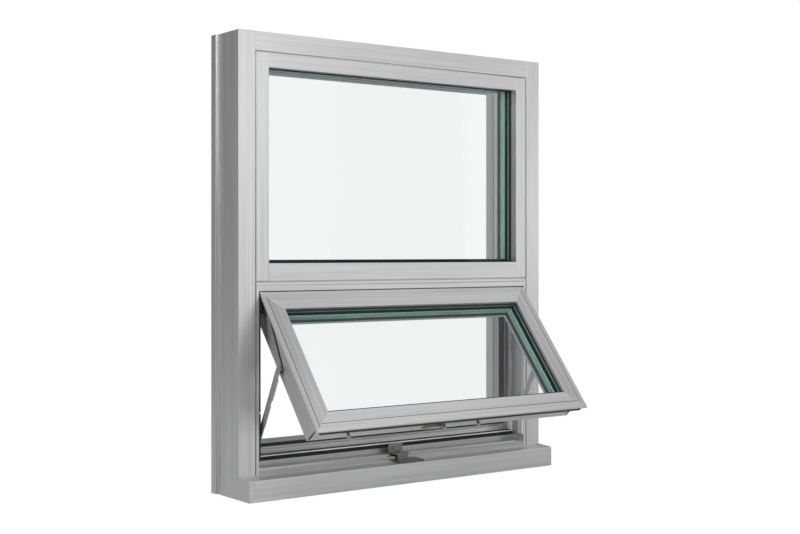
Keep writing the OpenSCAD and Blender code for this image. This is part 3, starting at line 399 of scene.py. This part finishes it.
finishes["glass"] = clearGlass("clearGlass", glassLook)


groundEdge = {"ripple": (30.0, 200.0, 30.0), "darker": 0.75, "rough": 0.15, "coat": 0.4, "bump": 0.05}


def glassEdge(name, color, glow, look=groundEdge):
    material, tree, shader = newFinish(name)
    ripple = noiseOn(tree, objectPattern(tree, look["ripple"]), 2.0)
    dark = tuple(c * look["darker"] for c in color)
    tree.links.new(tintBetween(tree, spread(tree, ripple, 0, 1), dark, color), shader.inputs["Base Color"])
    shader.inputs["Roughness"].default_value = look["rough"]
    shader.inputs["Coat Weight"].default_value = look["coat"]
    # the edge shines in its own colour: painted light
    shader.inputs["Emission Color"].default_value = (*color, 1)
    shader.inputs["Emission Strength"].default_value = glow
    bumpFrom(tree, shader, ripple, look["bump"])
    return material


# the three edges are of one glass: the middle one is painted lightest and the inner one darkest, standing for the
# light each gets, and each has a painted glow
paneEdges = {
    "outer": glassEdge("groundEdgeOuter", (0.24, 0.46, 0.40), 0.03),
    "middle": glassEdge("groundEdgeMiddle", (0.50, 0.86, 0.75), 0.06),
    "inner": glassEdge("groundEdgeInner", (0.17, 0.25, 0.235), 0.03),
}
print("finishes made")


meshLook = {"merge": 2e-6, "flat": 0.6, "edge": 32.0, "shade": 40.0}  # metres, then degrees


def addPiece(name, mesh, body, slot, replaced, *materials):
    piece = bpy.data.objects.new(name, mesh)
    bpy.context.scene.collection.objects.link(piece)
    if not mesh.materials:
        for material in materials:
            mesh.materials.append(material)
    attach(piece, body)
    if replaced:
        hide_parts(*replaced)
    return piece


def plainMesh(piece):
    # what the modifiers make of a piece, as a mesh of its own
    graph = bpy.context.evaluated_depsgraph_get()
    return bpy.data.meshes.new_from_object(piece.evaluated_get(graph))


def mergedCopy(node):
    # the node's loose triangles, merged, with flat faces whole again
    bm = bmesh.new()
    bm.from_mesh(nodes[node].data)
    bmesh.ops.remove_doubles(bm, verts=bm.verts, dist=meshLook["merge"])
    flat = math.radians(meshLook["flat"])
    bmesh.ops.dissolve_limit(bm, angle_limit=flat, verts=bm.verts, edges=bm.edges, delimit=set())
    return bm


def shadeSmooth(mesh, sharpAngle):
    mesh.polygons.foreach_set("use_smooth", [True] * len(mesh.polygons))
    mesh.set_sharp_from_angle(angle=math.radians(sharpAngle))


def finishEdges(mesh, width, segments):
    # small rounded edges, with the flat faces left flat
    holder = bpy.data.objects.new("holder", mesh)
    bpy.context.scene.collection.objects.link(holder)
    shadeSmooth(mesh, meshLook["edge"])
    bevel = holder.modifiers.new("edges", "BEVEL")
    bevel.width = width
    bevel.segments = segments
    bevel.limit_method = "ANGLE"
    bevel.angle_limit = math.radians(meshLook["edge"])
    bevel.harden_normals = True
    bevel.miter_outer = "MITER_SHARP"
    bevel.use_clamp_overlap = True
    result = plainMesh(holder)
    bpy.data.objects.remove(holder)
    return result


def camelName(node):
    words = node.split("_")
    return words[0] + "".join(w.capitalize() for w in words[1:])


def edgedNode(node, finish, edges, touch=None, more=None):
    # touch: (finish, place, test) paints the faces that pass; more: (finish, adder) adds small solids
    bm = mergedCopy(node)
    materials = [finishes[finish]]
    if touch:
        touchFinish, place, passes = touch
        materials.append(finishes[touchFinish])
        back = place.inverted()
        for face in bm.faces:
            if passes(back @ face.calc_center_median(), back.to_3x3() @ face.normal):
                face.material_index = 1
    if more:
        moreFinish, addSolids = more
        materials.append(finishes[moreFinish])
        addSolids(bm, len(materials) - 1)
    mesh = bpy.data.meshes.new(camelName(node))
    for material in materials:
        mesh.materials.append(material)
    bm.to_mesh(mesh)
    bm.free()
    mesh = finishEdges(mesh, edges["width"], edges["segments"])
    mesh.name = camelName(node)
    return addPiece(camelName(node), mesh, bodyOfNode[node], slotOfNode[node], [node])


def blockInto(bm, low, high, place, materialIndex):
    # an upright box from its low to its high corner
    made = bmesh.ops.create_cube(bm, size=1.0)["verts"]
    for vert in made:
        share = vert.co + Vector((0.5, 0.5, 0.5))
        vert.co = place @ Vector([low[i] + share[i] * (high[i] - low[i]) for i in range(3)])
    for face in {f for v in made for f in v.link_faces}:
        face.material_index = materialIndex


def outlineInto(bm, points, x0, x1, place, materialIndex):
    # a flat (y, z) outline given thickness along x
    near = [bm.verts.new(place @ Vector((x0, y, z))) for y, z in points]
    far = [bm.verts.new(place @ Vector((x1, y, z))) for y, z in points]
    made = [bm.faces.new(near), bm.faces.new(list(reversed(far)))]
    for i in range(len(points)):
        j = (i + 1) % len(points)
        made.append(bm.faces.new((near[j], near[i], far[i], far[j])))
    for face in made:
        face.material_index = materialIndex
    bmesh.ops.recalc_face_normals(bm, faces=made)


def closedBox(node, place):
    # the node's box with its body turned back to where the sections are square
    back = place.inverted()
    points = [back @ v.co for v in nodes[node].data.vertices]
    low = Vector([min(p[i] for p in points) for i in range(3)])
    high = Vector([max(p[i] for p in points) for i in range(3)])
    return low, high


profileEdges = {"width": 0.0006, "segments": 2}
profiles = {
    "jamb_left_outer": "frameZ", "jamb_right_outer": "frameZ",
    "head_outer": "frameX", "sill_outer": "sillX",
    "jamb_left_inner": "frameZ", "jamb_right_inner": "frameZ",
    "head_inner": "frameX", "sill_inner": "sillX",
    "sill_nose": "frameX", "nose_end_caps": "frameEven", "transom": "frameX",
    "fixed_rail_top": "frameX", "fixed_rail_bottom": "frameX",
    "fixed_stile_left": "frameZ", "fixed_stile_right": "frameZ",
    "subframe_head": "frameX", "subframe_sill": "sillX",
    "subframe_jamb_left": "frameZ", "subframe_jamb_right": "frameZ",
    "thermal_breaks": "polyamide",
}
squareOn = 0.9  # how squarely a face looks into the opening
# the faces that look into the opening get the pale reveal finish, which is painted light
sightTouches = {
    "jamb_left_inner": ("reveal", inFrame, lambda center, normal: normal.x > squareOn),
    "jamb_right_inner": ("reveal", inFrame, lambda center, normal: normal.x < -squareOn),
    "head_inner": ("reveal", inFrame, lambda center, normal: normal.z < -squareOn),
}
for profileNode, profileFinish in profiles.items():
    edgedNode(profileNode, profileFinish, profileEdges, sightTouches.get(profileNode))
ventEdges = {"width": 0.00045, "segments": 2}
ventProfiles = {
    "vent_rail_top": "ventX", "vent_rail_bottom": "ventX",
    "vent_stile_left": "ventZ", "vent_stile_right": "ventZ", "lock_rail": "ventX",
}
ventLow, ventHigh = closedBox("vent_rail_top", openVent)
faceLine = {"from": 0.0002, "deep": 0.0012}  # the groove along the vent's face, painted black inside: painted shade in the groove


def isInShadedFaceLine(center, normal):
    return ventLow.y + faceLine["from"] < center.y < ventLow.y + faceLine["deep"]


# black strip behind the top rail's flange: painted shade for the shadowed gap between the head and the vent
topShadeStrip = {"ends": 0.016, "from": 0.005, "thick": 0.004, "below": 0.0008, "high": 0.0117}


def addTopShadeStrip(bm, index):
    top = ventHigh.z - topShadeStrip["below"]
    front = ventLow.y + topShadeStrip["from"]
    blockInto(
        bm,
        (ventLow.x + topShadeStrip["ends"], front, top - topShadeStrip["high"]),
        (ventHigh.x - topShadeStrip["ends"], front + topShadeStrip["thick"], top),
        openVent, index,
    )


for profileNode, profileFinish in ventProfiles.items():
    edgedNode(
        profileNode, profileFinish, ventEdges, ("rubber", openVent, isInShadedFaceLine),
        ("rubber", addTopShadeStrip) if profileNode == "vent_rail_top" else None,
    )
beadEdges = {"width": 0.0012, "segments": 3}
# the glazing beads get the pale bead finish, which is painted light
for profileNode in ("fixed_glazing_beads", "vent_glazing_beads"):
    edgedNode(profileNode, "bead", beadEdges)
print("profiles made")


def ringMesh(name, corners, sections, place, stretch=(1.0, 1.0)):
    # each section, a list of (inward, depth) points, is swept round the rectangle with mitred corners;
    # stretch makes the bottom and the top bar taller
    low, high = corners
    mesh = bpy.data.meshes.new(name)
    bm = bmesh.new()
    for index, section in enumerate(sections):
        loops = []
        for sideX, sideZ in ((-1, -1), (1, -1), (1, 1), (-1, 1)):
            loop = []
            for inward, depth in section:
                x = high.x - inward if sideX > 0 else low.x + inward
                z = high.z - inward * stretch[1] if sideZ > 0 else low.z + inward * stretch[0]
                loop.append(bm.verts.new(place @ Vector((x, depth, z))))
            loops.append(loop)
        count = len(section)
        for side in range(4):
            here, there = loops[side], loops[(side + 1) % 4]
            for i in range(count):
                j = (i + 1) % count
                face = bm.faces.new((here[i], here[j], there[j], there[i]))
                face.material_index = index
    bmesh.ops.recalc_face_normals(bm, faces=bm.faces)
    bm.to_mesh(mesh)
    bm.free()
    return mesh


def roundedSection(inward, depth, radius, steps=4):
    # a rectangle in (inward, depth) with rounded corners
    points = []
    corners = (
        (inward[1] - radius, depth[1] - radius, 0), (inward[0] + radius, depth[1] - radius, 90),
        (inward[0] + radius, depth[0] + radius, 180), (inward[1] - radius, depth[0] + radius, 270),
    )
    for centerIn, centerDeep, start in corners:
        for step in range(steps + 1):
            angle = math.radians(start + 90 * step / steps)
            points.append((centerIn + radius * math.cos(angle), centerDeep + radius * math.sin(angle)))
    return points


glassCover = 0.013  # how far the profiles reach over the glass
paneLook = {"gap": 0.00005, "arris": 0.0006, "arrisSteps": 2}


def makePane(node, place, edge):
    # a clear slab as wide as the sight opening, held in the ground green rim that the profiles cover
    low, high = closedBox(node, place)
    rim = roundedSection((0.0, glassCover), (low.y, high.y), paneLook["arris"], paneLook["arrisSteps"])
    mesh = ringMesh(camelName(node), (low, high), [rim], place)
    bm = bmesh.new()
    bm.from_mesh(mesh)
    for face in bm.faces:
        face.material_index = 1
    inset = glassCover + paneLook["gap"]
    inner = Vector((inset, 0, inset))
    blockInto(bm, low + inner, high - inner, place, 0)
    bmesh.ops.recalc_face_normals(bm, faces=bm.faces)
    bm.to_mesh(mesh)
    bm.free()
    addPiece(
        camelName(node), mesh, bodyOfNode[node], slotOfNode[node], [node],
        finishes["glass"], paneEdges[edge],
    )


for unit, unitPlace in (("fixed", inFrame), ("vent", openVent)):
    for layer in ("outer", "middle", "inner"):
        makePane(f"{unit}_pane_{layer}", unitPlace, layer)
print("panes made")

spacerLook = {"seal": 0.0012, "sealSet": 0.0006, "round": 0.0008, "edgeIn": 0.002}
spacerStretch = {"fixed": (1.7, 1.0), "vent": (1.0, 1.0)}  # (bottom, top), taller below in the fixed light


def makeSpacers(unit, place):
    # two bars, each a rounded profile between its two butyl lines
    node = f"{unit}_spacers"
    sections, seal = [], spacerLook["seal"]
    firstPane = closedBox(f"{unit}_pane_outer", place)
    middlePane = closedBox(f"{unit}_pane_middle", place)
    lastPane = closedBox(f"{unit}_pane_inner", place)
    reach = glassCover - spacerLook["edgeIn"]
    sunk = reach - spacerLook["sealSet"]
    cavities = ((firstPane[1].y, middlePane[0].y), (middlePane[1].y, lastPane[0].y))
    for front, back in cavities:
        sections.append(roundedSection((0, reach), (front + seal, back - seal), spacerLook["round"]))
    for front, back in cavities:
        sections.append([(0, front), (sunk, front), (sunk, front + seal), (0, front + seal)])
        sections.append([(0, back - seal), (sunk, back - seal), (sunk, back), (0, back)])
    mesh = ringMesh(camelName(node), closedBox(node, place), sections, place, spacerStretch[unit])
    addPiece(
        camelName(node), mesh, bodyOfNode[node], "spacer", [node],
        finishes["darkSpacer"], finishes["greenSpacer"], *[finishes["butyl"]] * 4,
    )


gasketLook = {"lip": 0.0016, "round": 0.0009, "roundSteps": 3, "channel": 0.0006}
# black strip behind the lower edge of the vent's flange
flangeStrip = {"setIn": 0.001, "from": 0.005, "thick": 0.010, "high": 0.0178, "ends": 0.014}
# low black lip along the lower sight edge of the vent's glass, which is "face" from the flange's edges
sightLip = {"face": 0.048, "high": 0.0026, "depth": (0.0008, 0.0078), "sunk": 0.0002}


def addVentStrips(mesh, place):
    flangeLow, flangeHigh = closedBox("vent_rail_bottom", place)
    bm = bmesh.new()
    bm.from_mesh(mesh)
    front = flangeLow.y + flangeStrip["from"]
    bottom = flangeLow.z + flangeStrip["setIn"]
    blockInto(
        bm,
        (flangeLow.x + flangeStrip["ends"], front, bottom),
        (flangeHigh.x - flangeStrip["ends"], front + flangeStrip["thick"], bottom + flangeStrip["high"]),
        place, 0,
    )
    sill = flangeLow.z + sightLip["face"]
    near, far = (flangeLow.y + d for d in sightLip["depth"])
    blockInto(
        bm,
        (flangeLow.x + sightLip["face"], near, sill - sightLip["sunk"]),
        (flangeHigh.x - sightLip["face"], far, sill + sightLip["high"]),
        place, 0,
    )
    bm.to_mesh(mesh)
    bm.free()


def makeGasket(node, place, reach, finish):
    # soft profile with a rounded lip and a shallow channel along it
    low, high = closedBox(node, place)
    depth = (low.y, high.y)
    middle = (low.y + high.y) / 2
    channel = gasketLook["channel"]
    section = roundedSection((0, reach), depth, gasketLook["round"], gasketLook["roundSteps"])
    section += [(reach, middle - channel), (reach - channel, middle), (reach, middle + channel)]
    mesh = ringMesh(camelName(node), (low, high), [section], place)
    if node == "vent_gasket_outer":
        addVentStrips(mesh, place)
    shadeSmooth(mesh, meshLook["shade"])
    addPiece(camelName(node), mesh, bodyOfNode[node], slotOfNode[node], [node], finishes[finish])


for unit, unitPlace in (("fixed", inFrame), ("vent", openVent)):
    makeSpacers(unit, unitPlace)
    makeGasket(f"{unit}_gasket_outer", unitPlace, glassCover + gasketLook["lip"], "rubber")
    makeGasket(f"{unit}_gasket_inner", unitPlace, glassCover, "innerSeal")
print("spacers and gaskets made")

rubberEdges = {"width": 0.0006, "segments": 3}
stripLow, stripHigh = closedBox("weatherstrip", inFrame)
stripCorner = 0.03  # the weatherstrip's uprights are painted pale between its corners: painted light, as they lie in shade


def isStripUprightPaintedLight(center, normal):
    return stripLow.z + stripCorner < center.z < stripHigh.z - stripCorner


edgedNode("weatherstrip", "rubber", rubberEdges, ("paleSeal", inFrame, isStripUprightPaintedLight))
for rubberNode in ("inner_seal", "fixed_setting_blocks", "vent_setting_blocks"):
    edgedNode(rubberNode, "rubber", rubberEdges)
print("seals and setting blocks made")

hardwareEdges = {"width": 0.00035, "segments": 2}
# the left track is painted near black as painted shade, and the right track, bar and arm pale as painted light,
# though both sides are alike
hardware = {
    "stay_track_left": "track", "stay_track_right": "steelPaintedLight",
    "sash_bar_left": "steelEven", "sash_bar_right": "steelPaintedLight",
    "stay_arm_left": "steelEven", "stay_arm_right": "steelPaintedLight",
    "stay_shoe_left": "steelEven", "stay_shoe_right": "steelEven",
    "sill_keeper": "darkSteel", "lock_bar": "steelX", "lock_gear_case": "steelEven",
    "vent_corner_keys": "steelEven", "handle_base": "frameEven", "handle": "frameEven",
}
softEdges = {
    "handle": {"width": 0.0022, "segments": 4},
    "handle_base": {"width": 0.0012, "segments": 4},
}
# thin pad under each sash bar, round at both ends; wide is the radius there
barPad = {
    "length": 0.1782, "lean": 12.3, "wide": 0.0098, "thick": 0.0005, "setBack": 0.0125,
    "sunk": 0.0001, "endSteps": 8,
}
# two blocks on each track, black on the left as painted shade in the hinge corner and pale on the right as painted
# light: depth from the pin, height from the pin, reach from the side of the opening
hingeBlocks = (
    ((-0.0078, 0.008), (-0.040, -0.0065), (0.002, 0.0111)),
    ((-0.0078, 0.001), (-0.262, -0.0402), (0.002, 0.0052)),
)


def padInto(side):
    def add(bm, index):
        body = abs(closedBox("vent_stile_left", openVent)[0].x) - barPad["setBack"]
        lean = math.radians(barPad["lean"])
        along = Vector((math.sin(lean), -math.cos(lean)))
        across = Vector((along.y, -along.x))
        wide, steps = barPad["wide"], barPad["endSteps"]
        points = []
        for end, start in ((0.0, 180), (barPad["length"], 0)):
            for step in range(steps + 1):
                turn = math.radians(start - 90 + 180 * step / steps)
                spot = along * (end + wide * math.cos(turn)) + across * wide * math.sin(turn)
                points.append((hingePin.y + spot.x, hingePin.z + spot.y))
        near, far = side * (body - barPad["sunk"]), side * (body + barPad["thick"])
        outlineInto(bm, points, near, far, openVent, index)
    return add


def hingeBlockInto(node, side):
    def add(bm, index):
        low, high = closedBox(node, inFrame)
        wall = max(abs(low.x), abs(high.x))
        for depth, height, reach in hingeBlocks:
            near, far = sorted(side * (wall - r) for r in reach)
            blockInto(
                bm,
                (near, hingePin.y + depth[0], hingePin.z + height[0]),
                (far, hingePin.y + depth[1], hingePin.z + height[1]),
                inFrame, index,
            )
    return add


hardwareMore = {
    "sash_bar_left": ("rubber", padInto(-1)), "sash_bar_right": ("rubber", padInto(1)),
    "stay_track_left": ("rubber", hingeBlockInto("stay_track_left", -1)),
    "stay_track_right": ("paleSeal", hingeBlockInto("stay_track_right", 1)),
}
for partNode, partFinish in hardware.items():
    edgedNode(
        partNode, partFinish, softEdges.get(partNode, hardwareEdges), more=hardwareMore.get(partNode),
    )
print("stays, lock and keeper made")


def islands(node):
    # the points of each separate solid of a node
    bm = bmesh.new()
    bm.from_mesh(nodes[node].data)
    bmesh.ops.remove_doubles(bm, verts=bm.verts, dist=meshLook["merge"])
    left = set(bm.verts)
    groups = []
    while left:
        start = left.pop()
        group, queue = [start.co.copy()], [start]
        while queue:
            for edge in queue.pop().link_edges:
                for vert in edge.verts:
                    if vert in left:
                        left.remove(vert)
                        group.append(vert.co.copy())
                        queue.append(vert)
        groups.append(group)
    bm.free()
    return groups


possibleAxes = (Vector((1, 0, 0)), Vector((0, 0, 1)), ventTurn.to_3x3() @ Vector((0, 0, 1)))
clearlyLess = 1e-5


def longAxis(points):
    # direction of a headed part, its wide end leading, and how far it reaches along it
    middle = sum(points, Vector()) / len(points)
    best = None
    for axis in possibleAxes:
        along = [(p - middle).dot(axis) for p in points]
        across = max(((p - middle) - axis * a).length for p, a in zip(points, along))
        if best is None or across < best[0] - clearlyLess:
            best = (across, axis, min(along), max(along))
    across, axis, low, high = best
    half = (low + high) / 2
    widest = {True: 0.0, False: 0.0}
    for point in points:
        height = (point - middle).dot(axis)
        isTop = height > half
        widest[isTop] = max(widest[isTop], ((point - middle) - axis * height).length)
    if widest[False] > widest[True]:
        axis, low, high = -axis, -high, -low
    return axis, middle, low, high


def turnedMesh(name, outline, steps):
    # outline: (radius, height) points from the axis out and back, spun closed
    mesh = bpy.data.meshes.new(name)
    bm = bmesh.new()
    rings = []
    for radius, height in outline:
        if radius == 0:
            rings.append([bm.verts.new((0, 0, height))])
        else:
            rings.append([
                bm.verts.new((radius * math.cos(a), radius * math.sin(a), height))
                for a in (2 * math.pi * i / steps for i in range(steps))
            ])
    for lower, upper in zip(rings, rings[1:]):
        for i in range(steps):
            j = (i + 1) % steps
            if len(lower) == 1:
                bm.faces.new((lower[0], upper[i], upper[j]))
            elif len(upper) == 1:
                bm.faces.new((lower[i], upper[0], lower[j]))
            else:
                bm.faces.new((lower[i], upper[i], upper[j], lower[j]))
    bmesh.ops.recalc_face_normals(bm, faces=bm.faces)
    bm.to_mesh(mesh)
    bm.free()
    shadeSmooth(mesh, meshLook["shade"])
    return mesh


placing = {"size": 1.0, "seed": 3}


def placingTree():
    # puts the turned part on each point, along its headWay, with a random turn about it
    tree = bpy.data.node_groups.new("placeTurnedParts", "GeometryNodeTree")
    face = tree.interface
    face.new_socket("Geometry", in_out="INPUT", socket_type="NodeSocketGeometry")
    face.new_socket("Turned part", in_out="INPUT", socket_type="NodeSocketObject")
    face.new_socket("Size", in_out="INPUT", socket_type="NodeSocketFloat").default_value = placing["size"]
    face.new_socket("Finish", in_out="INPUT", socket_type="NodeSocketMaterial")
    face.new_socket("Seed", in_out="INPUT", socket_type="NodeSocketInt").default_value = placing["seed"]
    face.new_socket("Geometry", in_out="OUTPUT", socket_type="NodeSocketGeometry")
    add = tree.nodes.new
    start, end = add("NodeGroupInput"), add("NodeGroupOutput")
    points = add("GeometryNodeMeshToPoints")
    named = add("GeometryNodeInputNamedAttribute")
    named.data_type = "FLOAT_VECTOR"
    named.inputs["Name"].default_value = "headWay"
    align = add("FunctionNodeAlignRotationToVector")
    align.axis = "Z"
    spinAngle = add("FunctionNodeRandomValue")
    spinAngle.data_type = "FLOAT"
    spinAngle.inputs[3].default_value = math.pi
    axisAngle = add("FunctionNodeAxisAngleToRotation")
    turnMore = add("FunctionNodeRotateRotation")
    turnMore.rotation_space = "LOCAL"
    info = add("GeometryNodeObjectInfo")
    instance = add("GeometryNodeInstanceOnPoints")
    realize = add("GeometryNodeRealizeInstances")
    paint = add("GeometryNodeSetMaterial")
    link = tree.links.new
    link(start.outputs["Geometry"], points.inputs["Mesh"])
    link(start.outputs["Turned part"], info.inputs["Object"])
    link(named.outputs["Attribute"], align.inputs["Vector"])
    link(start.outputs["Seed"], spinAngle.inputs["Seed"])
    link(spinAngle.outputs[1], axisAngle.inputs["Angle"])
    link(align.outputs["Rotation"], turnMore.inputs["Rotation"])
    link(axisAngle.outputs["Rotation"], turnMore.inputs["Rotate By"])
    link(points.outputs["Points"], instance.inputs["Points"])
    link(info.outputs["Geometry"], instance.inputs["Instance"])
    link(turnMore.outputs["Rotation"], instance.inputs["Rotation"])
    link(start.outputs["Size"], instance.inputs["Scale"])
    link(instance.outputs["Instances"], realize.inputs["Geometry"])
    link(realize.outputs["Geometry"], paint.inputs["Geometry"])
    link(start.outputs["Finish"], paint.inputs["Material"])
    link(paint.outputs["Geometry"], end.inputs["Geometry"])
    return tree


placeParts = placingTree()


def placeTurned(node, template, finish):
    # one template, set on the seat of every solid of the node, as one mesh
    seats, ways = [], []
    for group in islands(node):
        axis, middle, low, high = longAxis(group)
        seats.append(middle + axis * high)
        ways.append(axis)
    holder = bpy.data.meshes.new(camelName(node))
    holder.from_pydata(seats, [], [])
    attribute = holder.attributes.new("headWay", "FLOAT_VECTOR", "POINT")
    attribute.data.foreach_set("vector", [c for way in ways for c in way])
    carrier = bpy.data.objects.new(camelName(node), holder)
    templateObject = bpy.data.objects.new("template", template)
    bpy.context.scene.collection.objects.link(carrier)
    bpy.context.scene.collection.objects.link(templateObject)
    modifier = carrier.modifiers.new("places", "NODES")
    modifier.node_group = placeParts
    sockets = {
        item.name: item.identifier
        for item in placeParts.interface.items_tree if item.in_out == "INPUT"
    }
    modifier[sockets["Turned part"]] = templateObject
    modifier[sockets["Size"]] = placing["size"]
    modifier[sockets["Finish"]] = finishes[finish]
    modifier[sockets["Seed"]] = placing["seed"]
    result = plainMesh(carrier)
    bpy.data.objects.remove(carrier)
    bpy.data.objects.remove(templateObject)
    result.name = camelName(node)
    addPiece(camelName(node), result, bodyOfNode[node], slotOfNode[node], [node], finishes[finish])


# low pan head with a six-lobed socket; height 0 is the top of the head
screwLook = {
    "headR": 0.0038, "headT": 0.0012, "headRound": 0.0004, "crown": 0.0011, "rim": 0.0001, "sunk": 0.00002,
    "shankR": 0.002, "tip": 0.0006, "steps": 24,
    "socketR": 0.0016, "socketDeep": 0.0008, "socketTaper": 0.95, "socketEdge": 0.0002,
    "lobes": 6, "lobeSize": 0.16, "lobesFrom": 0.0005,
}


def screwOutline(look, length):
    top = -look["sunk"]
    floor = top - look["socketDeep"]
    under = -look["headT"]
    return [
        (0, floor), (look["socketR"] * look["socketTaper"], floor),
        (look["socketR"], top - look["rim"]), (look["socketR"] + look["socketEdge"], top),
        (look["headR"] - look["crown"], top), (look["headR"] - look["headRound"], top - look["headRound"]),
        (look["headR"], under + look["rim"]), (look["headR"] - look["rim"], under),
        (look["shankR"], under), (look["shankR"], -length + look["tip"]),
        (look["shankR"] - look["tip"], -length), (0, -length),
    ]


def screwTemplate(look, length):
    mesh = turnedMesh("screwTemplate", screwOutline(look, length), look["steps"])
    below = -look["sunk"] - look["socketDeep"] - look["rim"]
    for vert in mesh.vertices:
        radius = math.hypot(vert.co.x, vert.co.y)
        if vert.co.z > below and look["lobesFrom"] < radius < look["socketR"] + look["rim"]:
            angle = math.atan2(vert.co.y, vert.co.x)
            lobe = 1 + look["lobeSize"] * math.cos(look["lobes"] * angle)
            vert.co.x *= lobe
            vert.co.y *= lobe
    return mesh


def shortestLength(node):
    lengths = [high - low for _, _, low, high in (longAxis(group) for group in islands(node))]
    return min(lengths)


for screwNode in ("frame_screws", "vent_screws"):
    placeTurned(screwNode, screwTemplate(screwLook, shortestLength(screwNode)), "steelEven")
print("screws placed")

rollerLook = {
    "headR": 0.0055, "headT": 0.002, "round": 0.0004, "neckR": 0.0035, "height": 0.014,
    "pinR": 0.0025, "pin": 0.002, "dimpleR": 0.0014, "dimpleRim": 0.0017, "dimpleDeep": 0.0003, "steps": 28,
}


def rollerOutline(look):
    edge = look["round"]
    under = -look["headT"]
    foot = -look["height"]
    return [
        (0, -look["dimpleDeep"]), (look["dimpleR"], -look["dimpleDeep"]), (look["dimpleRim"], 0),
        (look["headR"] - edge, 0), (look["headR"], -edge), (look["headR"], under + edge),
        (look["headR"] - edge, under), (look["neckR"] + edge, under),
        (look["neckR"], under - edge), (look["neckR"], foot),
        (look["pinR"], foot), (look["pinR"], foot - look["pin"]), (0, foot - look["pin"]),
    ]


rollerTemplate = turnedMesh("rollerTemplate", rollerOutline(rollerLook), rollerLook["steps"])
placeTurned("lock_rollers", rollerTemplate, "steelEven")
print("rollers placed")
